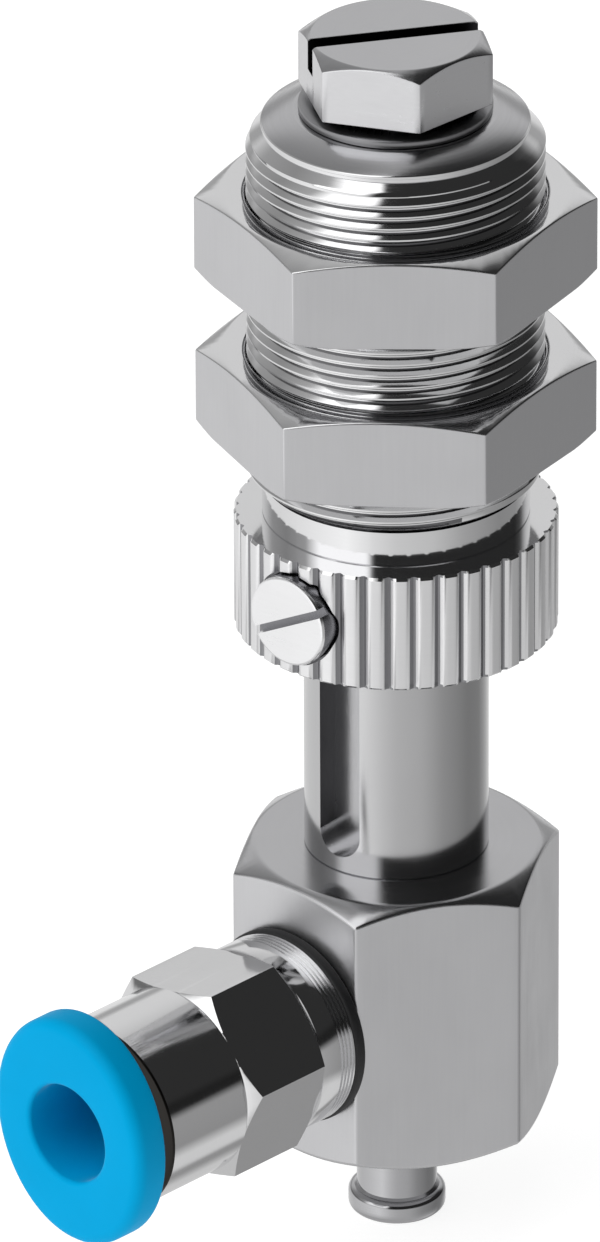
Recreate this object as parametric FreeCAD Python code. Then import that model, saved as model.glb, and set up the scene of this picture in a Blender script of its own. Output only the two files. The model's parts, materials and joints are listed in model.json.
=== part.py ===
import FreeCAD, Part
import math
import os

# Spring-loaded suction cup holder with a side push-in tube connector.
#
# A threaded guide sleeve is clamped in a bracket by two nuts. A plunger slides in it,
# pushed down by a spring, and carries the hexagonal body, the tube connector and the
# nipple that a suction cup is pushed onto.
#
# Millimetres. +Z is up, along the main axis. The origin is on that axis, level with the
# top face of the lower nut, where the bracket rests. The connector points along -Y.

Vec = FreeCAD.Vector
ORIGIN = Vec(0, 0, 0)
UP = Vec(0, 0, 1)
CUT = 1.0               # how far a cutter reaches past what it cuts

# ---- clearances --------------------------------------------------------------------
RUN = 0.04              # radial, a piece that slides in a bush
SEAT = 0.01             # radial, a piece held in its seat
THREAD_PLAY = 0.03      # radial, between a thread and its nut
FACE_PLAY = 0.02        # between faces of pieces that move apart
LOOSE = 0.2             # radial, a hole that only lets a piece through
END_PLAY = 0.05         # left between body and ring at full stroke

# ---- stroke and spring -------------------------------------------------------------
STROKE = 10.0
SPRING_WIRE = 0.5       # wire diameter
SPRING_TURNS = 7        # active turns
SPRING_DEAD_TURNS = 2
SPRING_SPARE = 0.2      # left between the turns at full stroke
SPRING_SEAT_T = 0.3     # washer between spring and plunger shoulder

# ---- plunger -----------------------------------------------------------------------
ROD_R = 3.75            # lower, guided part of the rod
STEM_R = 2.75           # upper part, inside the spring
SPIGOT_R = 3.0          # threaded end in the hexagonal body
SPIGOT_LENGTH = 3.6
GROOVE_DEPTH = 1.1
GROOVE_OVERRUN = 0.9    # past the guide screw, at each end of the stroke
STEM_CHAMFER = 0.3

# ---- guide sleeve ------------------------------------------------------------------
CHAMBER_GAP = 0.35      # radial, plunger rod to spring chamber
SLEEVE_WALL = 1.9       # chamber to crest of the mounting thread
THREAD_RELIEF = 0.6     # radial, crest of the thread to the plain ends
JOURNAL_STEP = 0.2      # radial, plain end to the journal inside the ring
THREAD_ABOVE = 2.8      # thread left above the upper nut
TOP_NECK = 0.3          # plain ring above the thread
TOP_CONE = 0.45         # height of the sloping top
TOP_CONE_WIDTH = 1.3
TOP_WALL = 1.45         # wall that holds the upper bush
COLLAR = 1.5            # plain length between thread and ring

# ---- nuts --------------------------------------------------------------------------
BRACKET_GAP = 3.25      # room for the bracket between the nuts
NUT_HEIGHT = 3.75
NUT_WALL = 1.0          # thread to flat
NUT_CHAMFER_DEG = 18.0
NUT_CHAMFER_INSET = 0.12
NUT_LEAD = 0.25         # chamfer at the mouth of the thread
UPPER_NUT_TURN = 43.4   # degrees, first corner from +X
LOWER_NUT_TURN = 40.2

# ---- knurled ring and guide screw --------------------------------------------------
RING_HEIGHT = 5.0
RING_WALL = 1.35        # journal to crest of the knurl
RING_LIP = 0.8          # floor that carries sleeve and bush
RING_CHAMFER = 0.1
FLUTES = 40
FLUTE_DEPTH = 0.26
FLUTE_TOP = 0.36        # width of a flute at the crest
FLUTE_FLOOR = 0.16
FLUTE_TURN = 5.2        # degrees, first flute from +X
SHOULDER_OVER_RING = 0.9
GUIDE_TURN = -85.5      # degrees from +X: side of the guide screw and its groove
GUIDE_HEAD_R = 1.9
GUIDE_HEAD_T = 1.1
GUIDE_HEAD_PROUD = 0.4  # past the crest of the knurl
GUIDE_HEAD_GAP = 0.1    # radial, head to its recess
GUIDE_HEAD_EDGE = 0.15
GUIDE_THREAD_R = 1.25
GUIDE_DOG_R = 0.98
GUIDE_DOG_PLAY = 0.06   # each side in the groove
GUIDE_DOG_END = 0.2     # to the floor of the groove
GUIDE_SLOT_W = 0.42
GUIDE_SLOT_D = 0.45
GUIDE_SLOT_TURN = 28.0  # degrees, slot from level

# ---- bushes ------------------------------------------------------------------------
BUSH_WALL = 0.55
BUSH_FLANGE_T = 0.4
LOWER_BUSH_LENGTH = 4.2

# ---- stop screw and its washers ----------------------------------------------------
STOP_WASHER_R = 3.9
STOP_WASHER_T = 0.33
LOCK_WASHER_R = 3.35
LOCK_WASHER_T = 0.35
LOCK_WASHER_GAP = 0.5
STOP_THREAD_R = 2.0
STOP_THREAD_LENGTH = 6.0
STOP_HEAD_AF = 7.0
STOP_HEAD_HEIGHT = 2.55
STOP_HEAD_CHAMFER_DEG = 30.0
STOP_HEAD_INSET = 0.12
STOP_SLOT_W = 0.8
STOP_SLOT_D = 1.3
STOP_HEAD_TURN = -32.2  # degrees, first corner from +X

# ---- hexagonal body ----------------------------------------------------------------
BODY_AF = 12.0
BODY_HEIGHT = 12.2
BODY_CHAMFER_DEG = 30.0
BODY_CHAMFER_INSET = 0.2
VACUUM_R = 1.25         # passage from port to nipple
PORT_DROP = 0.1         # port axis below the middle of the body
PORT_THREAD_R = 2.5
PORT_THREAD_LENGTH = 3.2

# ---- suction nipple ----------------------------------------------------------------
NIPPLE_THREAD_R = 2.5
NIPPLE_THREAD_LENGTH = 3.0
NIPPLE_NECK_R = 1.65
NIPPLE_NECK_LENGTH = 3.75
BEAD_R = 2.0
BEAD_HEIGHT = 1.0
BEAD_ROUND = 0.3
NIPPLE_BORE_R = 1.0

# ---- seals -------------------------------------------------------------------------
ROD_SEAL_WIRE = 1.0
NIPPLE_SEAL_T = 0.8
PORT_SEAL_R = 4.13
PORT_SEAL_T = 0.6

# ---- tube connector, distances from the main axis ----------------------------------
TUBE_R = 2.0
TUBE_PLAY = 0.05        # radial, tube in its socket
CONNECTOR_RIDGES = 4
RIDGE_PITCH = 0.2
RIDGE_DEPTH = 0.12
CONNECTOR_COLLAR_R = 4.05
CONNECTOR_COLLAR = 1.85  # ridges and plain collar together
CONNECTOR_AF = 8.0
CONNECTOR_HEX_LENGTH = 4.45
CONNECTOR_CHAMFER_DEG = 30.0
CONNECTOR_CHAMFER_INSET = 0.05
CONNECTOR_TURN = 39.3   # degrees, middle of a flat above +X
CONNECTOR_ROUND_R = 3.95
CONNECTOR_ROUND_LENGTH = 4.15
CONNECTOR_EDGE = 0.15
SOCKET_DEPTH = 3.7      # tube stop to tube seal
TUBE_SEAL_T = 1.1
TUBE_SEAL_WALL = 0.95
TUBE_SEAL_LIP = 0.25    # chamfer each side of the lip
GRAB_T = 0.25
GRAB_RIM = 0.35
GRAB_LEAN = 0.35        # how far the teeth's tips lean in
GRAB_ROOM = 0.1         # tips to tube seal
GRAB_TEETH = 8
GRAB_SLIT = 0.35
INSERT_LENGTH = 2.8
INSERT_WALL = 0.4
INSERT_LIP = 1.2
INSERT_LIP_WALL = 0.2   # extra wall of the lip that keeps the release ring in

# ---- release ring ------------------------------------------------------------------
RELEASE_GAP = 0.5       # ring to connector
RELEASE_HALF_WIDTH = 4.17
RELEASE_HALF_HEIGHT = 4.9
RELEASE_TURN = 8.6      # degrees, the oval about the port axis
RELEASE_T = 1.6
RELEASE_FRONT_ROUND = 0.5
RELEASE_BACK_ROUND = 0.2
RELEASE_MOUTH = 0.2
RELEASE_NOSE = 0.4      # bead behind the insert's lip
RELEASE_NOSE_GAP = 0.75  # bead to grab ring, before the ring is pushed
RELEASE_PLAY = 0.06

# ---- levels and radii that follow --------------------------------------------------
CHAMBER_R = ROD_R + CHAMBER_GAP
THREAD_R = CHAMBER_R + SLEEVE_WALL
PLAIN_R = THREAD_R - THREAD_RELIEF
JOURNAL_R = PLAIN_R - JOURNAL_STEP
RING_R = JOURNAL_R + RING_WALL
NUT_AF = 2 * (THREAD_R + NUT_WALL)
LOWER_BUSH_R = ROD_R + RUN + BUSH_WALL
UPPER_BUSH_R = STEM_R + RUN + BUSH_WALL

UPPER_NUT_Z = BRACKET_GAP
THREAD_TOP_Z = UPPER_NUT_Z + NUT_HEIGHT + THREAD_ABOVE
SLEEVE_TOP_Z = THREAD_TOP_Z + TOP_NECK + TOP_CONE
TOP_WALL_Z = SLEEVE_TOP_Z - TOP_WALL
SPRING_TOP_Z = TOP_WALL_Z - BUSH_FLANGE_T
SPRING_SOLID = (SPRING_TURNS + SPRING_DEAD_TURNS) * SPRING_WIRE
SPRING_BOTTOM_Z = SPRING_TOP_Z - SPRING_SOLID - SPRING_SPARE - STROKE
SHOULDER_Z = SPRING_BOTTOM_Z - SPRING_SEAT_T
RING_TOP_Z = SHOULDER_Z - SHOULDER_OVER_RING
RING_BOTTOM_Z = RING_TOP_Z - RING_HEIGHT
THREAD_BOTTOM_Z = RING_TOP_Z + COLLAR
SLEEVE_BOTTOM_Z = RING_BOTTOM_Z + RING_LIP
LOWER_BUSH_TOP_Z = SLEEVE_BOTTOM_Z + LOWER_BUSH_LENGTH
GUIDE_Z = (RING_TOP_Z + RING_BOTTOM_Z) / 2
GUIDE_FACE = RING_R + GUIDE_HEAD_PROUD
GUIDE_SEAT = GUIDE_FACE - GUIDE_HEAD_T

BODY_TOP_Z = RING_BOTTOM_Z - STROKE - END_PLAY
BODY_BOTTOM_Z = BODY_TOP_Z - BODY_HEIGHT
PORT_Z = BODY_TOP_Z - BODY_HEIGHT / 2 - PORT_DROP
SPIGOT_BOTTOM_Z = BODY_TOP_Z - SPIGOT_LENGTH
NIPPLE_TOP_Z = BODY_BOTTOM_Z + NIPPLE_THREAD_LENGTH
BEAD_TOP_Z = BODY_BOTTOM_Z - NIPPLE_NECK_LENGTH
NIPPLE_TIP_Z = BEAD_TOP_Z - BEAD_HEIGHT

STEM_TOP_Z = SLEEVE_TOP_Z + FACE_PLAY
LOCK_WASHER_Z = STEM_TOP_Z + STOP_WASHER_T
STOP_HEAD_Z = LOCK_WASHER_Z + LOCK_WASHER_T

SOCKET_R = TUBE_R + TUBE_PLAY
BODY_FACE = BODY_AF / 2
CONNECTOR_FACE = BODY_FACE + PORT_SEAL_T
CONNECTOR_HEX = CONNECTOR_FACE + CONNECTOR_COLLAR
CONNECTOR_ROUND = CONNECTOR_HEX + CONNECTOR_HEX_LENGTH
CONNECTOR_END = CONNECTOR_ROUND + CONNECTOR_ROUND_LENGTH
CONNECTOR_STUD = BODY_FACE - PORT_THREAD_LENGTH + SEAT
POCKET_R = SOCKET_R + TUBE_SEAL_WALL + SEAT
INSERT_START = CONNECTOR_END - INSERT_LENGTH
GRAB_RIM_START = INSERT_START - GRAB_T
TUBE_SEAL_END = GRAB_RIM_START - GRAB_LEAN - GRAB_ROOM
TUBE_SEAL_START = TUBE_SEAL_END - TUBE_SEAL_T
TUBE_STOP = TUBE_SEAL_START - SOCKET_DEPTH
INSERT_R = POCKET_R - SEAT
INSERT_LIP_START = CONNECTOR_END - INSERT_LIP
RELEASE_BACK = CONNECTOR_END + RELEASE_GAP
RELEASE_FRONT = RELEASE_BACK + RELEASE_T
RELEASE_BORE_R = SOCKET_R + TUBE_PLAY
RELEASE_SLEEVE_R = INSERT_R - INSERT_WALL - INSERT_LIP_WALL - RELEASE_PLAY
RELEASE_NOSE_START = INSERT_START + RELEASE_NOSE_GAP


# ---- shape helpers -----------------------------------------------------------------
def turned(points):
    """Solid turned about Z from (radius, height) points."""
    corners = [Vec(r, 0, z) for r, z in points]
    face = Part.Face(Part.makePolygon(corners + corners[:1]))
    return face.revolve(ORIGIN, UP, 360)


def rod(radius, low, high):
    return Part.makeCylinder(radius, high - low, Vec(0, 0, low), UP)


def tube(outer, inner, low, high):
    return rod(outer, low, high).cut(rod(inner, low - CUT, high + CUT))


def hexagon(flats, low, high, first_corner):
    """Hexagonal prism, its first corner turned by first_corner degrees from +X."""
    reach = flats / math.sqrt(3)
    angles = [math.radians(first_corner + 60 * i) for i in range(6)]
    corners = [Vec(reach * math.cos(a), reach * math.sin(a), low) for a in angles]
    return Part.Face(Part.makePolygon(corners + corners[:1])).extrude(UP * (high - low))


def chamfered_hexagon(flats, low, high, first_corner, slope_deg, inset, top=True, bottom=True):
    """Hexagon turned to a cone at its ends, as a bar is faced in a lathe."""
    reach = flats / math.sqrt(3) + CUT
    start = flats / 2 - inset
    drop = (reach - start) * math.tan(math.radians(slope_deg))
    outline = [(0, low)]
    outline += [(start, low), (reach, low + drop)] if bottom else [(reach, low)]
    outline += [(reach, high - drop), (start, high)] if top else [(reach, high)]
    outline += [(0, high)]
    return hexagon(flats, low, high, first_corner).common(turned(outline))


def towards_port(shape):
    """Turns a piece built along +Z, from the main axis outwards, to the port axis."""
    shape.rotate(ORIGIN, Vec(1, 0, 0), 90)
    shape.translate(Vec(0, 0, PORT_Z))
    return shape


def towards_guide_screw(shape):
    """Turns a piece built along +Z to the axis of the guide screw."""
    shape.rotate(ORIGIN, Vec(0, 1, 0), 90)
    shape.rotate(ORIGIN, UP, GUIDE_TURN)
    shape.translate(Vec(0, 0, GUIDE_Z))
    return shape


def slot(width, depth, top, turn, reach=20):
    """Cutter for a screwdriver slot across the top of a head."""
    cutter = Part.makeBox(reach, width, depth + CUT, Vec(-reach / 2, -width / 2, top - depth))
    cutter.rotate(ORIGIN, UP, turn)
    return cutter


# ---- guide -------------------------------------------------------------------------
def guide_sleeve():
    outside = turned([
        (0, SLEEVE_BOTTOM_Z), (JOURNAL_R, SLEEVE_BOTTOM_Z), (JOURNAL_R, RING_TOP_Z),
        (PLAIN_R, RING_TOP_Z), (PLAIN_R, THREAD_BOTTOM_Z), (THREAD_R, THREAD_BOTTOM_Z),
        (THREAD_R, THREAD_TOP_Z), (PLAIN_R, THREAD_TOP_Z), (PLAIN_R, THREAD_TOP_Z + TOP_NECK),
        (PLAIN_R - TOP_CONE_WIDTH, SLEEVE_TOP_Z), (0, SLEEVE_TOP_Z)])
    sleeve = outside.cut(rod(UPPER_BUSH_R + SEAT, TOP_WALL_Z - CUT, SLEEVE_TOP_Z + CUT))
    sleeve = sleeve.cut(rod(CHAMBER_R, LOWER_BUSH_TOP_Z - CUT, TOP_WALL_Z))
    sleeve = sleeve.cut(rod(LOWER_BUSH_R + SEAT, SLEEVE_BOTTOM_Z - CUT, LOWER_BUSH_TOP_Z))
    return sleeve.cut(towards_guide_screw(rod(GUIDE_THREAD_R + SEAT, 0, JOURNAL_R + CUT)))


def knurl_outline(low, high):
    """Prism with straight flutes round its edge."""
    half_top = math.asin(FLUTE_TOP / 2 / RING_R)
    half_floor = math.asin(FLUTE_FLOOR / 2 / (RING_R - FLUTE_DEPTH))
    corners = []
    for i in range(FLUTES):
        middle = math.radians(FLUTE_TURN + 360 * i / FLUTES)
        land = middle + math.pi / FLUTES
        flute = [(RING_R, middle - half_top), (RING_R - FLUTE_DEPTH, middle - half_floor),
                 (RING_R - FLUTE_DEPTH, middle + half_floor), (RING_R, middle + half_top),
                 (RING_R, land)]
        corners += [Vec(r * math.cos(a), r * math.sin(a), low) for r, a in flute]
    return Part.Face(Part.makePolygon(corners + corners[:1])).extrude(UP * (high - low))


def knurled_ring():
    rim = RING_R - RING_CHAMFER
    envelope = turned([
        (0, RING_BOTTOM_Z), (rim, RING_BOTTOM_Z), (RING_R, RING_BOTTOM_Z + RING_CHAMFER),
        (RING_R, RING_TOP_Z - RING_CHAMFER), (rim, RING_TOP_Z), (0, RING_TOP_Z)])
    ring = knurl_outline(RING_BOTTOM_Z, RING_TOP_Z).common(envelope)
    ring = ring.cut(rod(JOURNAL_R + SEAT, SLEEVE_BOTTOM_Z, RING_TOP_Z + CUT))
    ring = ring.cut(rod(ROD_R + LOOSE, RING_BOTTOM_Z - CUT, SLEEVE_BOTTOM_Z + CUT))
    ring = ring.cut(towards_guide_screw(rod(GUIDE_THREAD_R + SEAT, 0, RING_R + CUT)))
    return ring.cut(towards_guide_screw(rod(GUIDE_HEAD_R + GUIDE_HEAD_GAP, GUIDE_SEAT, RING_R + CUT)))


def guide_screw():
    dog_end = ROD_R - GROOVE_DEPTH + GUIDE_DOG_END
    dog_start = LOWER_BUSH_R + SEAT
    screw = turned([
        (0, dog_end), (GUIDE_DOG_R, dog_end), (GUIDE_DOG_R, dog_start),
        (GUIDE_THREAD_R, dog_start), (GUIDE_THREAD_R, GUIDE_SEAT), (GUIDE_HEAD_R, GUIDE_SEAT),
        (GUIDE_HEAD_R, GUIDE_FACE - GUIDE_HEAD_EDGE),
        (GUIDE_HEAD_R - GUIDE_HEAD_EDGE, GUIDE_FACE), (0, GUIDE_FACE)])
    # The quarter turn makes zero level, because the screw is laid down about Y.
    screw = screw.cut(slot(GUIDE_SLOT_W, GUIDE_SLOT_D, GUIDE_FACE, 90 + GUIDE_SLOT_TURN))
    return towards_guide_screw(screw)


def upper_bush():
    sleeve_top = SLEEVE_TOP_Z - FACE_PLAY
    return turned([
        (STEM_R + RUN, SPRING_TOP_Z), (CHAMBER_R - SEAT, SPRING_TOP_Z),
        (CHAMBER_R - SEAT, TOP_WALL_Z), (UPPER_BUSH_R, TOP_WALL_Z),
        (UPPER_BUSH_R, sleeve_top), (STEM_R + RUN, sleeve_top)])


def lower_bush():
    bush = tube(LOWER_BUSH_R, ROD_R + RUN, SLEEVE_BOTTOM_Z, LOWER_BUSH_TOP_Z)
    return bush.cut(towards_guide_screw(rod(GUIDE_DOG_R + GUIDE_DOG_PLAY, 0, JOURNAL_R)))


def compression_spring():
    middle = (STEM_R + CHAMBER_R) / 2
    half = SPRING_WIRE / 2
    low = SPRING_BOTTOM_Z + half + FACE_PLAY
    high = SPRING_TOP_Z - half - FACE_PLAY
    path = Part.makeHelix((high - low) / SPRING_TURNS, high - low, middle)
    path.translate(Vec(0, 0, low))
    section = Part.Wire(Part.makeCircle(half, Vec(middle, 0, low), Vec(0, 1, 0)))
    return Part.Wire(path.Edges).makePipeShell([section], True, True)


def lock_nut(low, turn):
    high = low + NUT_HEIGHT
    bore = THREAD_R + THREAD_PLAY
    nut = chamfered_hexagon(NUT_AF, low, high, turn, NUT_CHAMFER_DEG, NUT_CHAMFER_INSET,
                            bottom=False)
    nut = nut.cut(rod(bore, low - CUT, high + CUT))
    return nut.cut(turned([(0, high - NUT_LEAD), (bore, high - NUT_LEAD),
                           (bore + NUT_LEAD, high), (0, high)]))


# ---- plunger -----------------------------------------------------------------------
def guide_groove():
    """Cutter for the long groove that the guide screw's dog runs in."""
    half = GUIDE_DOG_R + GUIDE_DOG_PLAY
    floor = ROD_R - GROOVE_DEPTH
    high = GUIDE_DOG_R + GROOVE_OVERRUN
    low = -STROKE - GUIDE_DOG_R - GROOVE_OVERRUN
    reach = ROD_R
    block = Part.makeBox(high - low - 2 * half, 2 * half, reach, Vec(-high + half, -half, floor))
    ends = [Part.makeCylinder(half, reach, Vec(x, 0, floor), UP) for x in (-high + half, -low - half)]
    return towards_guide_screw(block.fuse(ends[0]).fuse(ends[1]))


def plunger_rod():
    seal_z = SPIGOT_BOTTOM_Z + ROD_SEAL_WIRE
    seal_floor = SPIGOT_R - ROD_SEAL_WIRE
    body = turned([
        (0, SPIGOT_BOTTOM_Z), (SPIGOT_R, SPIGOT_BOTTOM_Z),
        (SPIGOT_R, seal_z - ROD_SEAL_WIRE / 2), (seal_floor, seal_z - ROD_SEAL_WIRE / 2),
        (seal_floor, seal_z + ROD_SEAL_WIRE / 2), (SPIGOT_R, seal_z + ROD_SEAL_WIRE / 2),
        (SPIGOT_R, BODY_TOP_Z), (ROD_R, BODY_TOP_Z), (ROD_R, SHOULDER_Z - STEM_CHAMFER),
        (ROD_R - STEM_CHAMFER, SHOULDER_Z), (STEM_R, SHOULDER_Z),
        (STEM_R, STEM_TOP_Z), (0, STEM_TOP_Z)])
    body = body.cut(rod(STOP_THREAD_R + SEAT, STEM_TOP_Z - STOP_THREAD_LENGTH - CUT, STEM_TOP_Z + CUT))
    return body.cut(guide_groove())


def spring_seat_washer():
    return tube(ROD_R - STEM_CHAMFER, STEM_R + SEAT, SHOULDER_Z, SPRING_BOTTOM_Z)


def stop_washer():
    return tube(STOP_WASHER_R, STOP_THREAD_R + RUN, STEM_TOP_Z, LOCK_WASHER_Z)


def lock_washer():
    ring = tube(LOCK_WASHER_R, STOP_THREAD_R + RUN, LOCK_WASHER_Z, STOP_HEAD_Z)
    gap = Part.makeBox(LOCK_WASHER_R + CUT, LOCK_WASHER_GAP, LOCK_WASHER_T + 2 * CUT,
                       Vec(0, -LOCK_WASHER_GAP / 2, LOCK_WASHER_Z - CUT))
    gap.rotate(ORIGIN, UP, 90)
    return ring.cut(gap)


def stop_screw():
    top = STOP_HEAD_Z + STOP_HEAD_HEIGHT
    head = chamfered_hexagon(STOP_HEAD_AF, STOP_HEAD_Z, top, STOP_HEAD_TURN,
                             STOP_HEAD_CHAMFER_DEG, STOP_HEAD_INSET, bottom=False)
    screw = head.fuse(rod(STOP_THREAD_R, STEM_TOP_Z - STOP_THREAD_LENGTH, STOP_HEAD_Z))
    return screw.cut(slot(STOP_SLOT_W, STOP_SLOT_D, top, STOP_HEAD_TURN + 90)).removeSplitter()


# ---- body and nipple ---------------------------------------------------------------
def hex_body():
    body = chamfered_hexagon(BODY_AF, BODY_BOTTOM_Z, BODY_TOP_Z, 0, BODY_CHAMFER_DEG,
                             BODY_CHAMFER_INSET)
    body = body.cut(rod(SPIGOT_R + SEAT, SPIGOT_BOTTOM_Z, BODY_TOP_Z + CUT))
    body = body.cut(rod(VACUUM_R, NIPPLE_TOP_Z - CUT, PORT_Z))
    body = body.cut(rod(NIPPLE_THREAD_R + SEAT, BODY_BOTTOM_Z - CUT, NIPPLE_TOP_Z + NIPPLE_SEAL_T))
    body = body.cut(towards_port(rod(VACUUM_R, 0, BODY_FACE)))
    stud_hole = rod(PORT_THREAD_R + SEAT, BODY_FACE - PORT_THREAD_LENGTH, BODY_FACE + CUT)
    return body.cut(towards_port(stud_hole))


def rod_seal():
    """O-ring in the spigot's groove."""
    half = ROD_SEAL_WIRE / 2 - SEAT
    middle = SPIGOT_R - half
    level = SPIGOT_BOTTOM_Z + ROD_SEAL_WIRE
    return Part.makeTorus(middle, half, Vec(0, 0, level), UP)


def suction_nipple():
    bead = BEAD_ROUND
    points = [
        (NIPPLE_BORE_R, NIPPLE_TIP_Z), (BEAD_R - bead, NIPPLE_TIP_Z),
        (BEAD_R - 0.3 * bead, NIPPLE_TIP_Z + 0.3 * bead), (BEAD_R, NIPPLE_TIP_Z + bead),
        (BEAD_R, BEAD_TOP_Z - bead), (BEAD_R - 0.3 * bead, BEAD_TOP_Z - 0.3 * bead),
        (BEAD_R - bead, BEAD_TOP_Z), (NIPPLE_NECK_R, BEAD_TOP_Z),
        (NIPPLE_NECK_R, BODY_BOTTOM_Z), (NIPPLE_THREAD_R, BODY_BOTTOM_Z),
        (NIPPLE_THREAD_R, NIPPLE_TOP_Z), (NIPPLE_BORE_R, NIPPLE_TOP_Z)]
    return turned(points)


def nipple_seal():
    return tube(NIPPLE_THREAD_R, VACUUM_R, NIPPLE_TOP_Z, NIPPLE_TOP_Z + NIPPLE_SEAL_T)


# ---- tube connector ----------------------------------------------------------------
def port_seal():
    return towards_port(tube(PORT_SEAL_R, PORT_THREAD_R + SEAT, BODY_FACE, CONNECTOR_FACE))


def ridged_collar():
    """Turned collar whose first stretch carries fine ridges."""
    points = [(0, CONNECTOR_FACE)]
    for i in range(CONNECTOR_RIDGES):
        low = CONNECTOR_FACE + i * RIDGE_PITCH
        points += [(CONNECTOR_COLLAR_R, low), (CONNECTOR_COLLAR_R, low + RIDGE_PITCH / 2),
                   (CONNECTOR_COLLAR_R - RIDGE_DEPTH, low + RIDGE_PITCH / 2),
                   (CONNECTOR_COLLAR_R - RIDGE_DEPTH, low + RIDGE_PITCH)]
    plain = CONNECTOR_FACE + CONNECTOR_RIDGES * RIDGE_PITCH
    points += [(CONNECTOR_COLLAR_R, plain), (CONNECTOR_COLLAR_R, CONNECTOR_HEX), (0, CONNECTOR_HEX)]
    return turned(points)


def fitting_body():
    nuts = chamfered_hexagon(CONNECTOR_AF, CONNECTOR_HEX, CONNECTOR_ROUND, CONNECTOR_TURN + 30,
                             CONNECTOR_CHAMFER_DEG, CONNECTOR_CHAMFER_INSET)
    barrel = turned([
        (0, CONNECTOR_ROUND), (CONNECTOR_ROUND_R, CONNECTOR_ROUND),
        (CONNECTOR_ROUND_R, CONNECTOR_END - CONNECTOR_EDGE),
        (CONNECTOR_ROUND_R - CONNECTOR_EDGE, CONNECTOR_END), (0, CONNECTOR_END)])
    stud = rod(PORT_THREAD_R, CONNECTOR_STUD, CONNECTOR_FACE)
    body = ridged_collar().fuse(nuts).fuse(barrel).fuse(stud).removeSplitter()
    body = body.cut(rod(VACUUM_R, CONNECTOR_STUD - CUT, TUBE_STOP + CUT))
    body = body.cut(rod(SOCKET_R, TUBE_STOP, CONNECTOR_END))
    return towards_port(body.cut(rod(POCKET_R, TUBE_SEAL_START, CONNECTOR_END + CUT)))


def tube_seal():
    lip = SOCKET_R + SEAT
    root = lip + TUBE_SEAL_LIP
    outer = POCKET_R - SEAT
    return towards_port(turned([
        (root, TUBE_SEAL_START), (outer, TUBE_SEAL_START), (outer, TUBE_SEAL_END),
        (root, TUBE_SEAL_END), (lip, TUBE_SEAL_END - TUBE_SEAL_LIP),
        (lip, TUBE_SEAL_START + TUBE_SEAL_LIP)]))


def grab_ring():
    """Spring-steel washer with teeth that lean in towards the tube stop."""
    rim = POCKET_R - SEAT
    root = rim - GRAB_RIM
    tip = SOCKET_R + SEAT
    ring = turned([
        (tip, GRAB_RIM_START - GRAB_LEAN), (root, GRAB_RIM_START), (rim, GRAB_RIM_START),
        (rim, INSERT_START), (root, INSERT_START), (tip, INSERT_START - GRAB_LEAN)])
    for i in range(GRAB_TEETH):
        slit = Part.makeBox(root, GRAB_SLIT, INSERT_START - TUBE_SEAL_END,
                            Vec(0, -GRAB_SLIT / 2, TUBE_SEAL_END))
        slit.rotate(ORIGIN, UP, 360 * i / GRAB_TEETH)
        ring = ring.cut(slit)
    return towards_port(ring)


def insert_bush():
    inner = INSERT_R - INSERT_WALL
    lip = inner - INSERT_LIP_WALL
    return towards_port(turned([
        (inner, INSERT_START), (INSERT_R, INSERT_START), (INSERT_R, CONNECTOR_END),
        (lip, CONNECTOR_END), (lip, INSERT_LIP_START), (inner, INSERT_LIP_START)]))


def release_ring():
    oval = Part.Ellipse(Vec(0, RELEASE_HALF_HEIGHT, RELEASE_BACK),
                        Vec(RELEASE_HALF_WIDTH, 0, RELEASE_BACK), Vec(0, 0, RELEASE_BACK))
    flange = Part.Face(Part.Wire(oval.toShape())).extrude(UP * RELEASE_T)
    front = [e for e in flange.Edges if e.BoundBox.ZMin > RELEASE_FRONT - 0.01]
    flange = flange.makeFillet(RELEASE_FRONT_ROUND, front)
    back = [e for e in flange.Edges if e.BoundBox.ZMax < RELEASE_BACK + 0.01]
    flange = flange.makeFillet(RELEASE_BACK_ROUND, back)
    flange.rotate(ORIGIN, UP, RELEASE_TURN)
    nose_r = RELEASE_SLEEVE_R + INSERT_LIP_WALL
    nose_end = RELEASE_NOSE_START + RELEASE_NOSE
    sleeve = turned([
        (0, RELEASE_NOSE_START), (RELEASE_SLEEVE_R, RELEASE_NOSE_START),
        (nose_r, nose_end - RELEASE_NOSE / 2), (nose_r, nose_end), (RELEASE_SLEEVE_R, nose_end),
        (RELEASE_SLEEVE_R, RELEASE_FRONT - RELEASE_FRONT_ROUND),
        (0, RELEASE_FRONT - RELEASE_FRONT_ROUND)])
    ring = flange.fuse(sleeve).cut(rod(RELEASE_BORE_R, RELEASE_NOSE_START - CUT, RELEASE_FRONT + CUT))
    mouth = turned([
        (0, RELEASE_FRONT - RELEASE_MOUTH), (RELEASE_BORE_R, RELEASE_FRONT - RELEASE_MOUTH),
        (RELEASE_BORE_R + RELEASE_MOUTH, RELEASE_FRONT), (0, RELEASE_FRONT)])
    return towards_port(ring.cut(mouth))


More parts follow.
